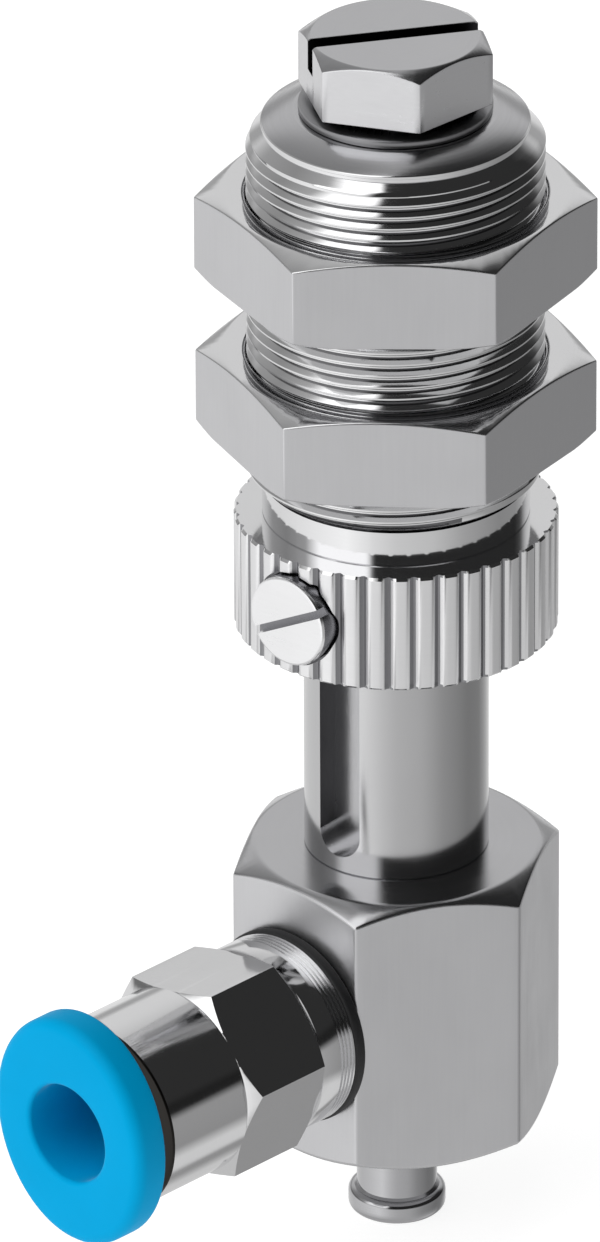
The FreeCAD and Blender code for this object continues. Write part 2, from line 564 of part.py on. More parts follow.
# ---- write the pieces --------------------------------------------------------------
def pieces():
    return {
        "guide_sleeve": guide_sleeve(),
        "knurled_ring": knurled_ring(),
        "guide_screw": guide_screw(),
        "upper_bush": upper_bush(),
        "lower_bush": lower_bush(),
        "compression_spring": compression_spring(),
        "upper_lock_nut": lock_nut(UPPER_NUT_Z, UPPER_NUT_TURN),
        "lower_lock_nut": lock_nut(-NUT_HEIGHT, LOWER_NUT_TURN),
        "plunger_rod": plunger_rod(),
        "spring_seat_washer": spring_seat_washer(),
        "stop_washer": stop_washer(),
        "lock_washer": lock_washer(),
        "stop_screw": stop_screw(),
        "hex_body": hex_body(),
        "rod_seal": rod_seal(),
        "suction_nipple": suction_nipple(),
        "nipple_seal": nipple_seal(),
        "port_seal": port_seal(),
        "fitting_body": fitting_body(),
        "tube_seal": tube_seal(),
        "grab_ring": grab_ring(),
        "insert_bush": insert_bush(),
        "release_ring": release_ring(),
    }


os.makedirs("parts", exist_ok=True)
for name, shape in pieces().items():
    if not shape.isValid() or len(shape.Solids) != 1:
        raise ValueError(name + " is not one valid solid")
    shape.exportStep("parts/" + name + ".step")
    box = shape.BoundBox
    print("%-20s %8.1f mm3  z %7.2f to %7.2f  y %7.2f to %7.2f" % (
        name, shape.Volume, box.ZMin, box.ZMax, box.YMin, box.YMax))
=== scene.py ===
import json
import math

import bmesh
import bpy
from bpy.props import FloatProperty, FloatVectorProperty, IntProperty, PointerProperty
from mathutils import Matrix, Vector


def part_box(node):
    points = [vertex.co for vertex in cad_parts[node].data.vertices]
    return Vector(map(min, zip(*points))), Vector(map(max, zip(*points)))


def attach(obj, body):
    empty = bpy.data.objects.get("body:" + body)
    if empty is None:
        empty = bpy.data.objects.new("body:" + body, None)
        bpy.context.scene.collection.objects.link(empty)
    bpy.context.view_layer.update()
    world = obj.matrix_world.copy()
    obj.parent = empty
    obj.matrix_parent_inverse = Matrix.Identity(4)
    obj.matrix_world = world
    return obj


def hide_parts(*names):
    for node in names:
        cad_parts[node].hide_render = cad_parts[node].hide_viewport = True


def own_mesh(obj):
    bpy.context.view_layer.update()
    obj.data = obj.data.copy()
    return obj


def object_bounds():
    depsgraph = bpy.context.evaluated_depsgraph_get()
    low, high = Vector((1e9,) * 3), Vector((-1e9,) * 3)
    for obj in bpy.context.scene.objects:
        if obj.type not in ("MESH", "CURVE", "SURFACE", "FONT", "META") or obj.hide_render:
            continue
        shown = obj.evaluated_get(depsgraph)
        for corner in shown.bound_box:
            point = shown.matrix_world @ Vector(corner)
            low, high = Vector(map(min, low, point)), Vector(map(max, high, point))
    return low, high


bl_info = {
    "name": "Suction cup holder",
    "version": (1, 0, 0),
    "blender": (4, 5, 0),
    "location": "View3D > Sidebar > Cup holder",
    "description": "Builds the visible pieces of a spring-loaded suction cup holder round its CAD model",
    "category": "Add Mesh",
}

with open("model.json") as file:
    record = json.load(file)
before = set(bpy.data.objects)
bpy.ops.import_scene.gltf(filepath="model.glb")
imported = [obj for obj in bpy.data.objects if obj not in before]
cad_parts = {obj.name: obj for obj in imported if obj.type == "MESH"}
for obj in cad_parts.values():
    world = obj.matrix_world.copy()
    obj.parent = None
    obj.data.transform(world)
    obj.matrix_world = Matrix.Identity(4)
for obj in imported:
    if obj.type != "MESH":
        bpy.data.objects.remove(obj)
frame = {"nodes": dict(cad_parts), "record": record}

CAD_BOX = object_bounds()

# Pieces are shaped in millimetres about their own axis, and turned to metres at the end.
MM = 1000.0
UP = Vector((0.0, 0.0, 1.0))
ORIGIN = Vector((0.0, 0.0, 0.0))
WELD = 1e-4             # mm, points nearer than this are one point
REACH = 1.0             # mm, how far a cutter runs past what it cuts
ROUND = 96              # facets round a turned piece, a multiple of six


def mm(metres):
    return metres * MM


def box_mm(node):
    """Lowest and highest corner of a CAD node, in millimetres."""
    low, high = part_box(node)
    return Vector(low) * MM, Vector(high) * MM


def linear(code):
    """Linear colour of an sRGB hex value."""
    parts = [int(code[i:i + 2], 16) / 255 for i in (1, 3, 5)]
    return tuple(c / 12.92 if c <= 0.04045 else ((c + 0.055) / 1.055) ** 2.4 for c in parts)


# ---- levels and radii that the pieces share, read from the CAD model -----------------
SLEEVE_LOW, SLEEVE_HIGH = box_mm("guide_sleeve")
RING_LOW, RING_HIGH = box_mm("knurled_ring")
LOWER_NUT_LOW, LOWER_NUT_HIGH = box_mm("lower_lock_nut")
UPPER_NUT_LOW, UPPER_NUT_HIGH = box_mm("upper_lock_nut")
ROD_LOW, ROD_HIGH = box_mm("plunger_rod")
BODY_LOW, BODY_HIGH = box_mm("hex_body")
NIPPLE_LOW, NIPPLE_HIGH = box_mm("suction_nipple")
HEAD_LOW, HEAD_HIGH = box_mm("stop_screw")
SPRING_LOW, SPRING_HIGH = box_mm("compression_spring")
UPPER_BUSH_LOW, UPPER_BUSH_HIGH = box_mm("upper_bush")
LOWER_BUSH_HIGH = box_mm("lower_bush")[1]
STOP_WASHER_LOW, STOP_WASHER_HIGH = box_mm("stop_washer")
LOCK_WASHER_LOW, LOCK_WASHER_HIGH = box_mm("lock_washer")
GUIDE_SCREW_LOW, GUIDE_SCREW_HIGH = box_mm("guide_screw")
CONNECTOR_LOW, CONNECTOR_HIGH = box_mm("fitting_body")
PORT_SEAL_LOW, PORT_SEAL_HIGH = box_mm("port_seal")
RELEASE_LOW, RELEASE_HIGH = box_mm("release_ring")
INSERT_LOW, INSERT_HIGH = box_mm("insert_bush")
TUBE_SEAL_HIGH = box_mm("tube_seal")[1]
SEAT_WASHER_LOW = box_mm("spring_seat_washer")[0]

THREAD_R = SLEEVE_HIGH.x
PORT_Z = (RELEASE_LOW.z + RELEASE_HIGH.z) / 2
# Turns a shape built along +Z to the tube port's axis, which points along -Y.
TO_PORT = Matrix.Translation((0, 0, PORT_Z)) @ Matrix.Rotation(math.radians(90), 4, "X")


# ---- shaping --------------------------------------------------------------------------
def turn_about(axis, degrees):
    return Matrix.Rotation(math.radians(degrees), 4, axis)


def quarter(steps):
    """Angles of a quarter turn, in equal steps."""
    return [math.pi / 2 * i / steps for i in range(steps + 1)]


def verts_of(geometry):
    return [item for item in geometry if isinstance(item, bmesh.types.BMVert)]


def hexagon(flats):
    """Radius of a hexagon at an angle, with a corner at zero."""
    def radius(angle):
        return flats / 2 / math.cos(math.fmod(angle + 4 * math.pi, math.pi / 3) - math.pi / 6)
    return radius


def oval(half_x, half_y):
    def radius(angle):
        return half_x * half_y / math.hypot(half_y * math.cos(angle), half_x * math.sin(angle))
    return radius


def cone(start, level, slope_deg):
    """Height at a radius on a cone that leaves level at radius start."""
    rise = math.tan(math.radians(slope_deg))
    return lambda radius: level + (radius - start) * rise


def place(verts, ring):
    radius, height = ring
    for vert in verts:
        angle = math.atan2(vert.co.y, vert.co.x)
        r = radius(angle) if callable(radius) else radius
        vert.co = (r * math.cos(angle), r * math.sin(angle), height(r) if callable(height) else height)


def grow(bm, edges, rings):
    """Extrudes a loop of edges through rings of (radius, height), and returns the last loop."""
    for ring in rings:
        new = bmesh.ops.extrude_edge_only(bm, edges=edges)["geom"]
        verts = set(verts_of(new))
        edges = [item for item in new if isinstance(item, bmesh.types.BMEdge) and set(item.verts) <= verts]
        place(verts, ring)
    return edges


def turned(rings, facets=ROUND, bored=True):
    """Closed shape of rings about Z. A bored one ends on its first ring, the other at two discs."""
    bm = bmesh.new()
    verts = bmesh.ops.create_circle(bm, cap_ends=False, segments=facets, radius=1.0)["verts"]
    place(verts, rings[0])
    grow(bm, bm.edges[:], rings[1:] + (rings[:1] if bored else []))
    if bored:
        bmesh.ops.remove_doubles(bm, verts=bm.verts, dist=WELD)
    else:
        bmesh.ops.holes_fill(bm, edges=[e for e in bm.edges if e.is_boundary], sides=0)
    bmesh.ops.recalc_face_normals(bm, faces=bm.faces)
    return bm


def block(width, depth, height, centre):
    bm = bmesh.new()
    size = Matrix.Diagonal((width, depth, height, 1))
    bmesh.ops.create_cube(bm, size=1.0, matrix=Matrix.Translation(centre) @ size)
    return bm


def moved(bm, matrix):
    bmesh.ops.transform(bm, matrix=matrix, verts=bm.verts)
    return bm


def saw_slot(length_mm, width, deep, top, turn):
    """Cutter for a screwdriver's slot in a face at height top."""
    slot = block(length_mm, width, deep + REACH, (0, 0, top - deep + (deep + REACH) / 2))
    return moved(slot, turn_about("Z", turn))


def soften(bm, width, over=24, segments=2, where=lambda edge: True):
    """Rounds every edge that is sharper than over degrees."""
    sharp = [e for e in bm.edges if len(e.link_faces) == 2
             and e.calc_face_angle() > math.radians(over) and where(e)]
    bmesh.ops.bevel(bm, geom=sharp, offset=width, offset_type="OFFSET", segments=segments, profile=0.5,
                    affect="EDGES", clamp_overlap=True, material=-1)
    return bm


def carve(bm, *cutters):
    """Cuts each cutter out of a mesh."""
    for cutter in cutters:
        objects = []
        for part in (bm, cutter):
            bmesh.ops.recalc_face_normals(part, faces=part.faces)
            mesh = bpy.data.meshes.new("carving")
            part.to_mesh(mesh)
            part.free()
            objects.append(bpy.data.objects.new("carving", mesh))
            bpy.context.scene.collection.objects.link(objects[-1])
        cut = objects[0].modifiers.new("cut", "BOOLEAN")
        cut.object = objects[1]
        cut.operation = "DIFFERENCE"
        cut.solver = "EXACT"
        final = objects[0].evaluated_get(bpy.context.evaluated_depsgraph_get())
        result = bpy.data.meshes.new_from_object(final)
        bm = bmesh.new()
        bm.from_mesh(result)
        bmesh.ops.remove_doubles(bm, verts=bm.verts, dist=WELD)
        for obj in objects:
            mesh = obj.data
            bpy.data.objects.remove(obj)
            bpy.data.meshes.remove(mesh)
        bpy.data.meshes.remove(result)
    return bm


def finish_piece(bm, name, body, nodes, materials, sharp_deg=38):
    """Makes the shaped mesh an object in metres, and hangs it on its CAD body."""
    bmesh.ops.recalc_face_normals(bm, faces=bm.faces)
    bmesh.ops.scale(bm, vec=(1 / MM, 1 / MM, 1 / MM), verts=bm.verts)
    for face in bm.faces:
        face.smooth = True
    for edge in bm.edges:
        edge.smooth = not (len(edge.link_faces) == 2 and edge.calc_face_angle() > math.radians(sharp_deg))
    mesh = bpy.data.meshes.new(name)
    bm.to_mesh(mesh)
    bm.free()
    for material in materials:
        mesh.materials.append(material)
    obj = bpy.data.objects.new(name, mesh)
    bpy.context.scene.collection.objects.link(obj)
    normals = obj.modifiers.new("flat_faces_stay_flat", "WEIGHTED_NORMAL")
    normals.keep_sharp = True
    normals.weight = 100
    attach(obj, body)
    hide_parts(*nodes)
    return obj


def give_finish(bm, index, test):
    """Gives the faces that pass the test one of the piece's materials."""
    bm.normal_update()
    for face in bm.faces:
        if test(face):
            face.material_index = index


def faces_up_or_down(face):
    return abs(face.normal.z) > 0.5


# ---- materials ------------------------------------------------------------------------
def feed(tree, node, **inputs):
    """Sets a node's inputs, each to a value or to another node's output.

    An input goes by its name, with _ for a space, or by i and its index.
    """
    for name, value in inputs.items():
        key = int(name[1:]) if name[0] == "i" and name[1:].isdigit() else name.replace("_", " ")
        if isinstance(value, bpy.types.NodeSocket):
            tree.links.new(value, node.inputs[key])
        else:
            node.inputs[key].default_value = value


def add(tree, kind, settings=(), **inputs):
    """Adds a node with its settings and its inputs."""
    node = tree.nodes.new(kind)
    for name, value in dict(settings).items():
        setattr(node, name, value)
    feed(tree, node, **inputs)
    return node


def new_material(name):
    material = bpy.data.materials.get(name) or bpy.data.materials.new(name)
    material.use_nodes = True
    tree = material.node_tree
    tree.nodes.clear()
    shader = add(tree, "ShaderNodeBsdfPrincipled")
    output = add(tree, "ShaderNodeOutputMaterial", Surface=shader.outputs[0])
    output.location = (300, 0)
    return material, tree, shader


def axis_coordinates(tree, about_port=False):
    """Object coordinates in millimetres, with Z along the piece's own axis."""
    here = add(tree, "ShaderNodeTexCoord").outputs["Object"]
    turn = (math.radians(-90), 0, 0) if about_port else (0, 0, 0)
    shift = (0, 0, -PORT_Z / MM) if about_port else (0, 0, 0)
    shifted = add(tree, "ShaderNodeVectorMath", {"operation": "ADD"}, i0=here, i1=shift).outputs[0]
    return add(tree, "ShaderNodeMapping", {"vector_type": "POINT"}, Vector=shifted, Rotation=turn,
               Scale=(MM, MM, MM)).outputs[0]


def turning_lines(tree, coordinates, spacing):
    """Noise that only changes along the axis and across the radius, as a tool leaves it."""
    flat = add(tree, "ShaderNodeVectorMath", {"operation": "MULTIPLY"}, i0=coordinates, i1=(1, 1, 0))
    radius = add(tree, "ShaderNodeVectorMath", {"operation": "LENGTH"}, i0=flat.outputs[0])
    height = add(tree, "ShaderNodeSeparateXYZ", Vector=coordinates)
    section = add(tree, "ShaderNodeCombineXYZ", X=radius.outputs["Value"], Z=height.outputs["Z"])
    return add(tree, "ShaderNodeTexNoise", Vector=section.outputs[0], Scale=1 / spacing, Detail=3.0,
               Roughness=0.6).outputs["Fac"]


def drawn_lines(tree, coordinates, spacing, streak):
    """Noise in long streaks along Z."""
    stretched = add(tree, "ShaderNodeVectorMath", {"operation": "MULTIPLY"}, i0=coordinates,
                    i1=(1, 1, spacing / streak))
    return add(tree, "ShaderNodeTexNoise", Vector=stretched.outputs[0], Scale=1 / spacing, Detail=3.0,
               Roughness=0.6).outputs["Fac"]


def metal(name, colour, rough, lines, depth, rough_swing=0.05, tint=0.06, smudge=3.0, about_port=False,
          streak=0.0):
    """Plated or bare metal.

    lines is the tool marks' spacing, depth their height, streak their length along Z where
    they were drawn and not turned, and smudge the size of the plate's uneven patches, all in
    mm. tint is how much darker the patches are, and rough_swing how far they change the gloss.
    """
    material, tree, shader = new_material(name)
    coordinates = axis_coordinates(tree, about_port)
    if streak:
        marks = drawn_lines(tree, coordinates, lines, streak)
    else:
        marks = turning_lines(tree, coordinates, lines)
    clouds = add(tree, "ShaderNodeTexNoise", Vector=coordinates, Scale=1 / smudge, Detail=4.0,
                 Roughness=0.55).outputs["Fac"]
    both = add(tree, "ShaderNodeMath", {"operation": "MULTIPLY_ADD"}, i0=marks, i1=0.5,
               i2=add(tree, "ShaderNodeMath", {"operation": "MULTIPLY"}, i0=clouds, i1=0.5).outputs[0])
    roughness = add(tree, "ShaderNodeMapRange", Value=both.outputs[0], From_Min=0.3, From_Max=0.7,
                    To_Min=max(0.02, rough - rough_swing), To_Max=rough + rough_swing)
    base = linear(colour)
    dull = tuple(c * (1 - tint) for c in base)
    shade = add(tree, "ShaderNodeMix", {"data_type": "RGBA"}, i0=both.outputs[0], i6=base + (1,),
                i7=dull + (1,))
    bump = add(tree, "ShaderNodeBump", Strength=1.0, Distance=depth / MM, Height=marks)
    feed(tree, shader, Metallic=1.0, Base_Color=shade.outputs[2], Roughness=roughness.outputs[0],
         Normal=bump.outputs[0])
    return material


def bright_nickel():
    # Bright nickel over turned brass: a clear mirror with faint rings left by the tool.
    return metal("bright_nickel_plate", "#E8E8E9", 0.09, lines=0.09, depth=0.0009)


def bright_nickel_port():
    # The same plate on the tube connector, with its rings about the port's axis.
    return metal("bright_nickel_plate_connector", "#EAEAEB", 0.10, lines=0.09, depth=0.0008, about_port=True)


def satin_nickel_flat():
    # Nickel over the drawn flats of hexagon bar: an even satin with faint streaks along the bar.
    return metal("satin_nickel_drawn_flat", "#D9D9DB", 0.34, lines=0.10, depth=0.0010, streak=3.0)


def faced_nickel():
    # Nickel over a faced end: the lathe leaves it nearly a mirror, with close rings.
    return metal("nickel_faced_end", "#E7E7E8", 0.09, lines=0.08, depth=0.0006)


def dull_nickel_end():
    # Nickel over a rougher turned end: greyer, and it blurs what it mirrors.
    return metal("nickel_rough_turned_end", "#C4C4C6", 0.20, lines=0.12, depth=0.0012)


def painted_shade_flute_valley():
    # Painted shade: the bottoms of the flutes are drawn darker and duller than the crests.
    return metal("nickel_painted_shade_valley", "#9A9A9D", 0.38, lines=0.09, depth=0.0010)


def nipple_nickel():
    # Plate over the turned nipple: a darker mirror than the sleeve.
    return metal("nickel_turned_nipple", "#BEBEC0", 0.12, lines=0.07, depth=0.0010)


def shadowed_end():
    # Painted shade: the connector's end under the release ring is drawn dark for the shadow in the gap.
    return metal("painted_shade_connector_end", "#3A3836", 0.45, lines=0.09, depth=0.0010, about_port=True)


def ground_steel():
    # Ground and polished stainless steel: soft mirror, hair lines round the rod.
    return metal("ground_stainless_rod", "#CBCBCC", 0.15, lines=0.05, depth=0.0006)


def milled_steel():
    # The groove's milled walls and floor: the same steel, darker and dull beside the ground face.
    return metal("milled_stainless_groove", "#C6C6C8", 0.24, lines=0.06, depth=0.0012, streak=0.5)


def painted_shade_groove_wall_steel():
    # Painted shade: the groove's side walls are drawn dark.
    return metal("groove_wall_painted_shade", "#5E5E60", 0.34, lines=0.06, depth=0.0010, streak=0.5)


def painted_shade_flank_nickel():
    # Painted shade: the thread flanks that face down are drawn darker than the rest of the plate.
    return metal("painted_shade_thread_flank", "#727274", 0.14, lines=0.06, depth=0.0010, streak=0.5)


def painted_shade_slot_steel():
    # Painted shade: the saw's slot is drawn dark.
    return metal("painted_shade_slot_steel", "#38383A", 0.36, lines=0.06, depth=0.0010, streak=0.5)


def pressed_steel():
    # Tumbled flat washer: greyer and duller than the plated parts on both sides of it.
    return metal("pressed_washer_steel", "#9C9C9E", 0.32, lines=0.06, depth=0.0010)


def knurled_nickel():
    # Plate over the pressed flutes: bright, but soft enough to blur what it mirrors.
    return metal("bright_nickel_flutes", "#F8F8F9", 0.36, lines=0.09, depth=0.0010)


def screw_steel():
    # Zinc-plated screw head: bright and slightly milky.
    return metal("zinc_plated_screw", "#E2E2E4", 0.30, lines=0.12, depth=0.0012)


def guide_screw_steel():
    # The small screw's faced head is the brightest metal of the piece.
    return metal("bright_faced_screw", "#FAFAFB", 0.24, lines=0.10, depth=0.0010)


def spring_strip_and_painted_shade():
    # Dark spring steel of the lock washer and the grab ring; on the guide screw's head side, shank and slot
    # it is painted shade.
    return metal("dark_spring_steel_and_painted_shade", "#8A8A8E", 0.28, lines=0.08, depth=0.001)


def spring_wire():
    # Drawn spring wire: dull grey with long streaks.
    return metal("drawn_spring_wire", "#9A9A9E", 0.30, lines=0.05, depth=0.0008, smudge=1.0)


def turned_brass():
    # Bare brass of the pressed-in bush.
    return metal("turned_brass", "#D8BC78", 0.18, lines=0.08, depth=0.0008, about_port=True)


def black_rubber():
    """Moulded nitrile rubber: black, dull, a little grey where it is rubbed."""
    material, tree, shader = new_material("nitrile_rubber")
    coordinates = axis_coordinates(tree)
    grain = add(tree, "ShaderNodeTexNoise", Vector=coordinates, Scale=9.0, Detail=5.0).outputs["Fac"]
    shade = add(tree, "ShaderNodeMix", {"data_type": "RGBA"}, i0=grain, i6=linear("#101011") + (1,),
                i7=linear("#202022") + (1,))
    bump = add(tree, "ShaderNodeBump", Strength=0.5, Distance=0.004 / MM, Height=grain)
    feed(tree, shader, Base_Color=shade.outputs[2], Normal=bump.outputs[0], Roughness=0.55, IOR=1.52)
    return material


def bearing_polymer():
    """Filled bearing polymer: dark grey, machined, dull."""
    material, tree, shader = new_material("bearing_polymer")
    coordinates = axis_coordinates(tree)
    grain = turning_lines(tree, coordinates, 0.12)
    shade = add(tree, "ShaderNodeMix", {"data_type": "RGBA"}, i0=grain, i6=linear("#2C2C2F") + (1,),
                i7=linear("#3A3A3D") + (1,))
    bump = add(tree, "ShaderNodeBump", Strength=1.0, Distance=0.002 / MM, Height=grain)
    feed(tree, shader, Base_Color=shade.outputs[2], Normal=bump.outputs[0], Roughness=0.45)
    return material


def blue_acetal():
    """Moulded acetal: even blue, waxy, with a soft highlight and a fine moulded grain."""
    material, tree, shader = new_material("moulded_blue_acetal")
    coordinates = axis_coordinates(tree, about_port=True)
    colour = tuple(bpy.context.scene.holder_finish.release_ring)
    grain = add(tree, "ShaderNodeTexNoise", Vector=coordinates, Scale=6.0, Detail=6.0).outputs["Fac"]
    clouds = add(tree, "ShaderNodeTexNoise", Vector=coordinates, Scale=0.5, Detail=2.0).outputs["Fac"]
    shade = add(tree, "ShaderNodeMix", {"data_type": "RGBA"}, i0=clouds, i6=colour + (1,),
                i7=tuple(c * 0.93 for c in colour) + (1,))
    bump = add(tree, "ShaderNodeBump", Strength=1.0, Distance=0.002 / MM, Height=grain)
    rough = add(tree, "ShaderNodeMapRange", Value=grain, From_Min=0.3, From_Max=0.7, To_Min=0.36, To_Max=0.46)
    feed(tree, shader, Base_Color=shade.outputs[2], Roughness=rough.outputs[0], Normal=bump.outputs[0],
         IOR=1.48, Specular_IOR_Level=0.03)
    return material


# ---- sizes and colours ------------------------------------------------------------------
def length(name, description, default):
    return FloatProperty(name=name, description=description, default=default, unit="LENGTH", precision=5)


class HolderShape(bpy.types.PropertyGroup):
    """Sizes of the pieces that the CAD boxes don't give."""
    thread_pitch: length("Thread pitch", "Pitch of the mounting thread", 0.0005)
    thread_depth: length("Thread depth", "Crest to root of the mounting thread", 0.00024)
    thread_low: length("Thread start", "Height of the thread's lower end", -0.0057)
    thread_high: length("Thread end", "Height of the thread's upper end", 0.0098)
    plain_radius: length("Plain radius", "Radius of the collar below the thread", 0.0054)
    top_radius: length("Top radius", "Radius where the sloping top ends", 0.0041)
    top_neck: length("Top neck", "Plain ring between thread and sloping top", 0.0003)
    journal_radius: length("Journal radius", "Sleeve inside the knurled ring", 0.0052)
    nut_flats: length("Nut flats", "Across flats of the lock nuts", 0.014)
    nut_chamfer_inset: length("Nut chamfer inset", "Flat to the start of the chamfer", 0.00012)
    nut_lead: length("Nut lead", "Chamfer at the mouth of the nut's thread", 0.00012)
    nut_edge: length("Nut edge", "Rounding of the nut's edges", 0.00012)
    flute_depth: length("Flute depth", "Depth of the knurled ring's flutes", 0.00022)
    ring_chamfer: length("Ring chamfer", "Chamfer at the ends of the flutes", 0.0001)
    flutes: IntProperty(name="Flutes", description="Flutes round the knurled ring", default=40, min=3)
    spring_wire: length("Spring wire", "Diameter of the spring's wire", 0.0005)
    spring_turns: IntProperty(name="Spring turns", description="Turns of the spring", default=7, min=2)
    body_flats: length("Body flats", "Across flats of the hexagonal body", 0.012)
    body_edge: length("Body edge", "Rounding of the body's edges", 0.00012)
    head_flats: length("Screw head flats", "Across flats of the stop screw", 0.007)
    connector_flats: length("Connector flats", "Across flats of the tube connector", 0.00786)
    release_half_width: length("Release ring half width", "Short half axis of the oval", 0.00413)
    release_half_height: length("Release ring half height", "Long half axis of the oval", 0.00487)
    release_gap: length("Release ring gap", "From the connector's end to the back of the oval", 0.0005)


class HolderFinish(bpy.types.PropertyGroup):
    """Colours of the pieces and the stage."""
    release_ring: FloatVectorProperty(name="Release ring", description="Colour of the release ring",
                                      subtype="COLOR", size=3, default=linear("#00A5DD"))
    floor: FloatVectorProperty(name="Floor", description="Colour of the floor", subtype="COLOR", size=3,
                               default=linear("#AAAAAA"))


# ---- stage ----------------------------------------------------------------------------
# The camera stands 44.3 degrees round from -Y towards +X and looks down 27 degrees through
# a long lens. Lengths are in metres.
VIEW_TURN = math.radians(44.295)
VIEW_DROP = math.radians(26.978)
VIEW_ROLL = math.radians(-0.237)
VIEW_DISTANCE = 0.71655
VIEW_LENS = 514.444      # mm
VIEW_SENSOR = 36.0       # mm, along the frame's longer side
AIM_HEIGHT = -0.011
AIM_RIGHT = -0.003883
AIM_UP = -0.001225


def view_axes():
    """Unit vectors of the camera: forwards, right and up, before its roll."""
    ahead = Vector((-math.sin(VIEW_TURN) * math.cos(VIEW_DROP), math.cos(VIEW_TURN) * math.cos(VIEW_DROP),
                    -math.sin(VIEW_DROP)))
    right = Vector((math.cos(VIEW_TURN), math.sin(VIEW_TURN), 0.0))
    return ahead, right, right.cross(ahead)


def build_camera():
    ahead, right, up = view_axes()
    turned_right = right * math.cos(VIEW_ROLL) + up * math.sin(VIEW_ROLL)
    turned_up = up * math.cos(VIEW_ROLL) - right * math.sin(VIEW_ROLL)
    aim = Vector((0, 0, AIM_HEIGHT)) + turned_right * AIM_RIGHT + turned_up * AIM_UP
    data = bpy.data.cameras.new("view")
    data.sensor_width = VIEW_SENSOR
    data.lens = VIEW_LENS
    data.clip_start = 0.05
    data.clip_end = 50.0
    camera = bpy.data.objects.new("view", data)
    bpy.context.scene.collection.objects.link(camera)
    rotation = Matrix((turned_right, turned_up, -ahead)).transposed().to_4x4()
    camera.matrix_world = Matrix.Translation(aim - ahead * VIEW_DISTANCE) @ rotation
    bpy.context.scene.camera = camera


# What the tent shows to a mirror, by the angle from the camera's side, in degrees to the right.
TABLE_LIGHT = [(-180, 0.82), (-120, 0.82), (-89, 0.92), (-44, 1.12), (-16, 0.82), (0, 0.70), (31, 0.62),
               (60, 0.42), (100, 0.28), (125, 0.30), (140, 0.45), (155, 0.66), (168, 0.80), (180, 0.82)]
TENT_LIGHT = [(-180, 0.62), (-140, 0.40), (-110, 0.30), (-85, 0.45), (-70, 1.50), (-27, 1.50), (-18, 0.03),
              (124, 0.03), (138, 0.10), (150, 0.35), (165, 0.60), (180, 0.62)]
BELOW_LIGHT = [(-180, 0.62), (60, 0.62), (88, 0.72), (112, 0.70), (119, 0.32), (128, 0.32), (150, 0.64),
               (180, 0.62)]
BEHIND = 0.75           # what faces that look up mirror


def build_world():
    """A light tent: a tall soft box on the left, a dark side on the right, a lit table below."""
    world = bpy.data.worlds.new("light_tent")
    bpy.context.scene.world = world
    world.use_nodes = True
    tree = world.node_tree
    tree.nodes.clear()
    around = add(tree, "ShaderNodeTexCoord").outputs["Generated"]
    direction = add(tree, "ShaderNodeMapping", {"vector_type": "VECTOR"}, Vector=around,
                    Rotation=(0, 0, -VIEW_TURN))
    right, away, high = add(tree, "ShaderNodeSeparateXYZ", Vector=direction.outputs[0]).outputs
    towards = add(tree, "ShaderNodeMath", {"operation": "MULTIPLY"}, i0=away, i1=-1.0).outputs[0]
    angle = add(tree, "ShaderNodeMath", {"operation": "ARCTAN2"}, i0=right, i1=towards).outputs[0]
    share = add(tree, "ShaderNodeMapRange", Value=angle, From_Min=-math.pi, From_Max=math.pi).outputs[0]
    lights = []
    for stops in (TABLE_LIGHT, TENT_LIGHT, BELOW_LIGHT):
        ramp = add(tree, "ShaderNodeValToRGB", Fac=share)
        points = ramp.color_ramp.elements
        while len(points) < len(stops):
            points.new(1.0)
        for point, (degrees, value) in zip(points, stops):
            point.position = (degrees + 180) / 360
            point.color = (value, value, value, 1)
        lights.append(ramp.outputs["Color"])
    table, tent, under = lights
    steep = add(tree, "ShaderNodeMapRange", Value=high, From_Min=-0.50, From_Max=-0.64).outputs[0]
    behind = add(tree, "ShaderNodeMapRange", {"interpolation_type": "SMOOTHSTEP"}, Value=away, From_Min=0.60,
                 From_Max=0.88).outputs[0]
    below = add(tree, "ShaderNodeMix", {"data_type": "FLOAT"}, Factor=steep, A=table, B=under).outputs[0]
    above = add(tree, "ShaderNodeMix", {"data_type": "FLOAT"}, Factor=behind, A=tent, B=BEHIND).outputs[0]
    # The tent's foot is dimmer, so that level faces don't burn out when they are seen from low down.
    foot = add(tree, "ShaderNodeMapRange", Value=high, From_Min=0.17, From_Max=0.27, To_Min=0.55,
               To_Max=1.0).outputs[0]
    above = add(tree, "ShaderNodeMath", {"operation": "MULTIPLY"}, i0=above, i1=foot).outputs[0]
    level = add(tree, "ShaderNodeMapRange", Value=high, From_Min=-0.06, From_Max=0.06).outputs[0]
    surround = add(tree, "ShaderNodeMix", {"data_type": "FLOAT"}, Factor=level, A=below, B=above).outputs[0]
    lit = add(tree, "ShaderNodeBackground", Color=surround, Strength=1.0)
    plain = add(tree, "ShaderNodeBackground", Color=(1, 1, 1, 1), Strength=1.0)
    seen = add(tree, "ShaderNodeLightPath").outputs["Is Camera Ray"]
    both = add(tree, "ShaderNodeMixShader", i0=seen, i1=lit.outputs[0], i2=plain.outputs[0])
    add(tree, "ShaderNodeOutputWorld", Surface=both.outputs[0])


